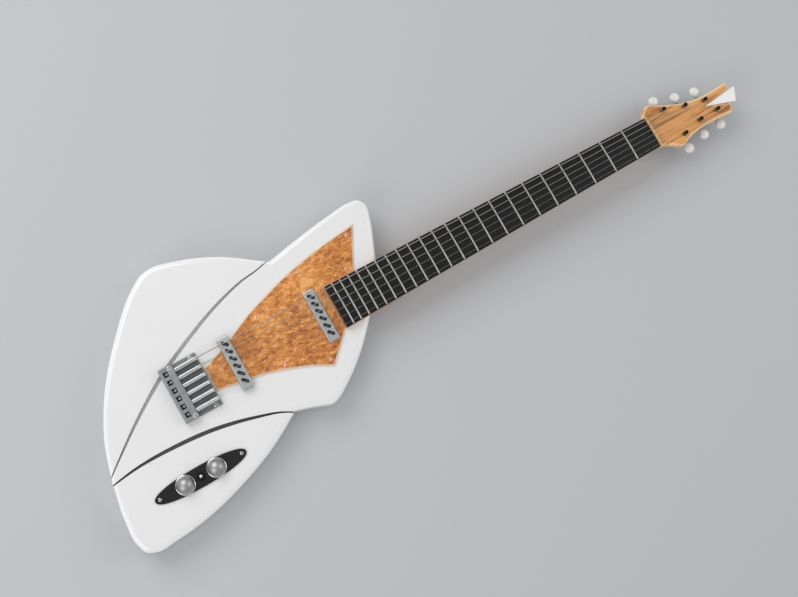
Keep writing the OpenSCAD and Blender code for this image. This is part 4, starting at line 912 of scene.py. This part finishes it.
class GUITAR_OT_controls(bpy.types.Operator):
    """Polished black oval plate with two domed chrome knobs, the selector lever and a screw at each end"""
    bl_idname = "guitar.controls"
    bl_label = "Controls"

    def execute(self, context):
        low, high = span("control_plate")
        hx, hy = (high[0] - low[0]) / 2, (high[1] - low[1]) / 2
        a = np.arange(160) * 2 * np.pi / 160
        # The oval is a circle's x and y to the power 2 / 2.2, times its half length and half width
        oval = (hx, hy) * to_power(np.column_stack([np.cos(a), np.sin(a)]), 2 / 2.2) + (PLATE_X, PLATE_Y)
        build("control_oval", plate(oval, edges(FRONT_Z, PLATE_Z, 0.05, 0.7, 6, 0.4)), "acrylic",
              "black_gloss", ["control_plate"])
        head = screw_head(2.0, 0.6)
        heads = [placed(head, (PLATE_X + side * (hx - 6), PLATE_Y, PLATE_Z)) for side in (-1, 1)]
        heads += [placed(head, (JACK_X - 2, JACK_Y + y, EDGE_Z), *JACK_SEAT[1:]) for y in (-13.5, 13.5)]
        build("small_screw_heads", join(heads), "chrome", "nickel", ["small_screws"], 50)
        # Knob: a thin rim, a waist, then an ellipse arc up to the middle
        r, h = size("knob_r"), KNOB_TOP - KNOB_Z
        t = np.linspace(0, np.pi / 2 - 0.02, 22)
        dome = np.column_stack([(r - 0.9) * np.cos(t), 2.6 + (h - 2.6) * np.sin(t)])
        rim = [(r - 0.5, 0), (r, 0.35), (r, 1.3), (r - 0.4, 1.75), (r - 1.1, 1.9)]
        turned = lathe(np.vstack([rim, dome]), 72, mat=1, row_mats=[0] * len(rim) + [1] * (len(dome) - 1))
        for body in ("volume", "tone"):
            build(f"{body}_dome", placed(turned, (middle(f"{body}_knob", 0), PLATE_Y, KNOB_Z)),
                  "chrome satin_chrome", "knob_chrome", [f"{body}_knob"], 50, body)
        # Lever: a thin cone with a ball tip
        ball = np.linspace(-0.85, np.pi / 2 - 0.05, 14)
        stem = [(1.05, -4.5), (1.2, 0), (1.3, 5), (1.45, 8)]
        tip = np.column_stack([2.2 * np.cos(ball), 10 + 2.2 * np.sin(ball)])
        build("selector_tip", placed(lathe(np.vstack([stem, tip]), 32), (PLATE_X, PLATE_Y, FRONT_Z + 1)),
              "chrome", "knob_chrome", ["selector_lever"], 50, "selector")
        dress("control_nuts", "black_nickel")
        dress("selector_switch", "black_nickel")
        for node in ("volume_pot", "tone_pot", "volume_shaft", "tone_shaft"):
            dress(node, "steel")
        return {"FINISHED"}


class GUITAR_OT_edge_fittings(bpy.types.Operator):
    """Jack plate on the tail edge, two strap cups let into the edge, and the bolted plate behind the heel"""
    bl_idname = "guitar.edge_fittings"
    bl_label = "Jack, strap cups and neck plate"

    def execute(self, context):
        flat = plate(box_outline(36, 22, 4), edges(0, 2, 0.05, 0.6, 5))
        cover = build("jack_cover", placed(flat, *JACK_SEAT), "satin", "nickel", ["jack_plate"])
        carve(cover, [placed(lathe([(5.1, -5), (5.1, 5)]), *JACK_SEAT)])
        dress("output_jack", "chrome")
        cup = lathe([(6, -14), (6, -1.8), (7.7, -1.8), (8, -1.5), (8, -0.7), (7.5, -0.35), (4.6, -0.35),
                     (4.05, -0.9), (4.05, -12.5), (0.05, -12.5)], 56)
        build("strap_cups", join(at_strap_cups(cup)), "satin", "nickel", ["strap_sockets"])
        seat = plate(box_outline(28, 50, 5), edges(0, 1.7, 0.05, 0.5, 5))
        back = build("heel_plate", placed(seat, (NECK_PLATE_X + 14, 0, 1.8), (1, 0, 0), (0, 0, -1)),
                     "satin", "nickel", ["neck_plate"])
        bolts = [(NECK_PLATE_X + x, y) for x in (6, 22) for y in (-19, 19)]
        carve(back, [placed(lathe([(4.45, -1), (4.45, 3)], 40), (*b, 0)) for b in bolts])
        heads = [placed(screw_head(4.2, 0.9, 2.0, 0.8), (*b, 1.0), (1, 0, 0), (0, 0, -1)) for b in bolts]
        build("heel_bolt_heads", join(heads), "satin", "nickel", ["neck_bolts"], 50)
        return {"FINISHED"}


def side_of(i):
    """Side of the head that tuner i is on: -1 for the first three, 1 for the others."""
    return -1 if i < 3 else 1


class GUITAR_OT_tuners(bpy.types.Operator):
    """Six tuners: the case behind the head, the turning post and the key with its pearl button"""
    bl_idname = "guitar.tuners"
    bl_label = "Tuners"

    def execute(self, context):
        case = plate(box_outline(17.5, 14, 3, (1.75, 0)),
                     edges(HEAD_BACK_Z - 12.5, HEAD_BACK_Z, 1.4, 0.05, 6))
        cases = [placed(case, (*p, 0)) for p in POSTS]
        build("tuner_cases", join(cases), "satin", "nickel", ["tuner_housings"])
        dress("tuner_bushings", "black_nickel")
        r, w = POST_R, WAIST_R
        t = np.linspace(0, np.pi, 9)
        waist = np.column_stack([w + (r - w) * 0.5 * (1 + np.cos(t)), WAIST_Z - 1 + 1.2 * t / np.pi])
        cap = WAIST_Z + WAIST_H
        post = np.vstack([[(r, HEAD_BACK_Z + 1)], waist,
                          [(w, cap - 0.4), (r - 0.3, cap), (r, cap + 0.3), (r, cap + 1.5)],
                          [(r - 0.4, cap + 2), (1.2, cap + 2), (1.0, cap + 1.4), (0.05, cap + 1.3)]])
        # Button: a flattened ball, radius times cos^0.8 of latitude, half thickness times sin^0.9
        v = np.linspace(-np.pi / 2 + 0.03, np.pi / 2 - 0.03, 21)
        R, T = size("button_r"), 4.0
        ball = np.column_stack([R * np.cos(v) ** 0.8, T * to_power(np.sin(v), 0.9)])
        button = placed(lathe(ball, 40), (0, 0, KEY_REACH), (1, 0, 0), (0, 1, 0))
        stem = lathe([(1.5, -4.8), (1.5, 9.3), (2.3, 9.9), (2.6, 10.6), (2.6, 12), (2.2, 12.8), (2.2, 14)],
                     32, mat=1)
        for i, (x, y) in enumerate(POSTS):
            build(f"post_{i + 1}_turned", placed(lathe(post, 40), (x, y, 0)), "black_nickel", "nickel",
                  [f"tuner_post_{i + 1}"], 40, f"post_{i + 1}")
            key = placed(join([button, stem]), (x + WORM_OFFSET, y, KEY_Z), (1, 0, 0), (0, side_of(i), 0))
            build(f"key_{i + 1}_button", key, "pearl satin", "pearl",
                  [f"tuner_key_{i + 1}"], 50, f"key_{i + 1}")
        return {"FINISHED"}


class GUITAR_OT_strings(bpy.types.Operator):
    """Six strings, each from its ball in the bridge over saddle and nut and round its post"""
    bl_idname = "guitar.strings"
    bl_label = "Strings"

    def execute(self, context):
        for i, r in enumerate(STRING_R):
            ys, yn = string_y(i, SADDLE_PITCH), string_y(i, NUT_PITCH)
            turn, pitch = WAIST_R + 0.08 + r, 2.4 * r
            top = WAIST_Z + 0.2 + r + WRAPS * pitch
            # Winding: x and y turn round the post while z falls by one pitch a turn
            a = side_of(i) * (np.linspace(0, WRAPS * 2 * np.pi, WRAPS * 24 + 1) - np.pi / 2)
            coil = np.column_stack([POSTS[i, 0] + turn * np.cos(a), POSTS[i, 1] + turn * np.sin(a),
                                    top - pitch * np.linspace(0, WRAPS, len(a))])
            run = [(ANCHOR[0], ys, ANCHOR[1]), (CREST[0] - 0.5, ys, CREST[1] - 0.08),
                   (CREST[0] + 0.5, ys, CREST[1]), (NUT_X, yn, NUT_SLOT_Z), (NUT_END, yn, NUT_SLOT_Z)]
            ball = placed(lathe([(1.4, -1.8), (1.9, -1.3), (1.9, 1.3), (1.4, 1.8)], 24, mat=1),
                          (ANCHOR[0], ys, ANCHOR[1]), (1, 0, 0), (0, 1, 0))
            build(f"string_{i + 1}_wire", join([tube(np.vstack([run, coil]), r), ball]),
                  "plain steel" if i < 3 else "wound steel", "string_steel", [f"string_{i + 1}"], 60)
        return {"FINISHED"}


class GUITAR_OT_inside(bpy.types.Operator):
    """Finishes for what lies inside: truss rod, magnets and leads"""
    bl_idname = "guitar.inside"
    bl_label = "Inside"

    def execute(self, context):
        for node, key in (("truss_rod", "steel"), ("pickup_magnets", "steel"),
                          ("pickup_leads", "pvc"), ("jack_lead", "pvc")):
            dress(node, key)
        return {"FINISHED"}


class GUITAR_OT_stage(bpy.types.Operator):
    """Pale paper floor, soft lamps and the camera"""
    bl_idname = "guitar.stage"
    bl_label = "Stage"

    def execute(self, context):
        scene = context.scene
        g = np.linspace(-4000, 4000, 9)
        P = np.stack(np.meshgrid(g, g, indexing="ij") + [np.full((9, 9), -0.3)], -1)
        floor = build("floor_paper", skin(P, False, False), "paper")
        for name, at, turn, wide, power in (("key_lamp", (-0.35, 1.35, 1.7), (-0.66, -0.12, 0), 1.5, 20),
                                            ("side_lamp", (-1.5, -0.6, 1.5), (0.25, -0.75, 0), 1.4, 11),
                                            ("far_lamp", (1.9, -0.5, 1.6), (0.2, 0.8, 0), 1.4, 9)):
            lamp = bpy.data.lights.new(name, "AREA")
            lamp.shape, lamp.size, lamp.energy = "SQUARE", wide, power
            o = bpy.data.objects.new(name, lamp)
            o.location, o.rotation_euler = at, turn
            scene.collection.objects.link(o)
        world = bpy.data.worlds.new("Studio")
        scene.world = world
        world.use_nodes = True
        world.node_tree.nodes.clear()
        back = add(world.node_tree, "ShaderNodeBackground", {"Color": (1.0, 1.0, 1.0, 1.0), "Strength": 0.5})
        add(world.node_tree, "ShaderNodeOutputWorld", {"Surface": back.outputs[0]})
        camera = bpy.data.cameras.new("camera")
        camera.lens, camera.sensor_width, camera.clip_end = 50, 36, 100
        eye = bpy.data.objects.new("camera", camera)
        eye.matrix_world = Matrix(((0.8557, 0.4771, -0.2006, -0.0280), (-0.4989, 0.8634, -0.0751, -0.1309),
                                   (0.1373, 0.1643, 0.9768, 1.3844), (0, 0, 0, 1)))
        scene.collection.objects.link(eye)
        scene.camera = eye
        scene.view_settings.view_transform = "Standard"
        return {"FINISHED"}


OPERATORS = (GUITAR_OT_stage, GUITAR_OT_body, GUITAR_OT_neck, GUITAR_OT_board, GUITAR_OT_guard,
             GUITAR_OT_pickups, GUITAR_OT_bridge, GUITAR_OT_controls, GUITAR_OT_edge_fittings,
             GUITAR_OT_tuners, GUITAR_OT_strings, GUITAR_OT_inside)


class GUITAR_PT_panel(bpy.types.Panel):
    """Sizes, colours and pieces of the guitar"""
    bl_idname = "GUITAR_PT_panel"
    bl_label = "Guitar"
    bl_space_type = "VIEW_3D"
    bl_region_type = "UI"
    bl_category = "Guitar"

    def draw(self, context):
        for group in (context.scene.guitar_sizes, context.scene.guitar_colours):
            column = self.layout.column()
            for key in group.__annotations__:
                column.prop(group, key)
        for operator in OPERATORS:
            self.layout.operator(operator.bl_idname)


CLASSES = (GuitarSizes, GuitarColours, *OPERATORS, GUITAR_PT_panel)


def register():
    for c in CLASSES:
        bpy.utils.register_class(c)
    bpy.types.Scene.guitar_sizes = PointerProperty(type=GuitarSizes)
    bpy.types.Scene.guitar_colours = PointerProperty(type=GuitarColours)


def unregister():
    del bpy.types.Scene.guitar_colours
    del bpy.types.Scene.guitar_sizes
    for c in reversed(CLASSES):
        bpy.utils.unregister_class(c)


def main():
    register()
    for operator in OPERATORS:
        group, name = operator.bl_idname.split(".")
        getattr(getattr(bpy.ops, group), name)()


if __name__ == "__main__":
    main()
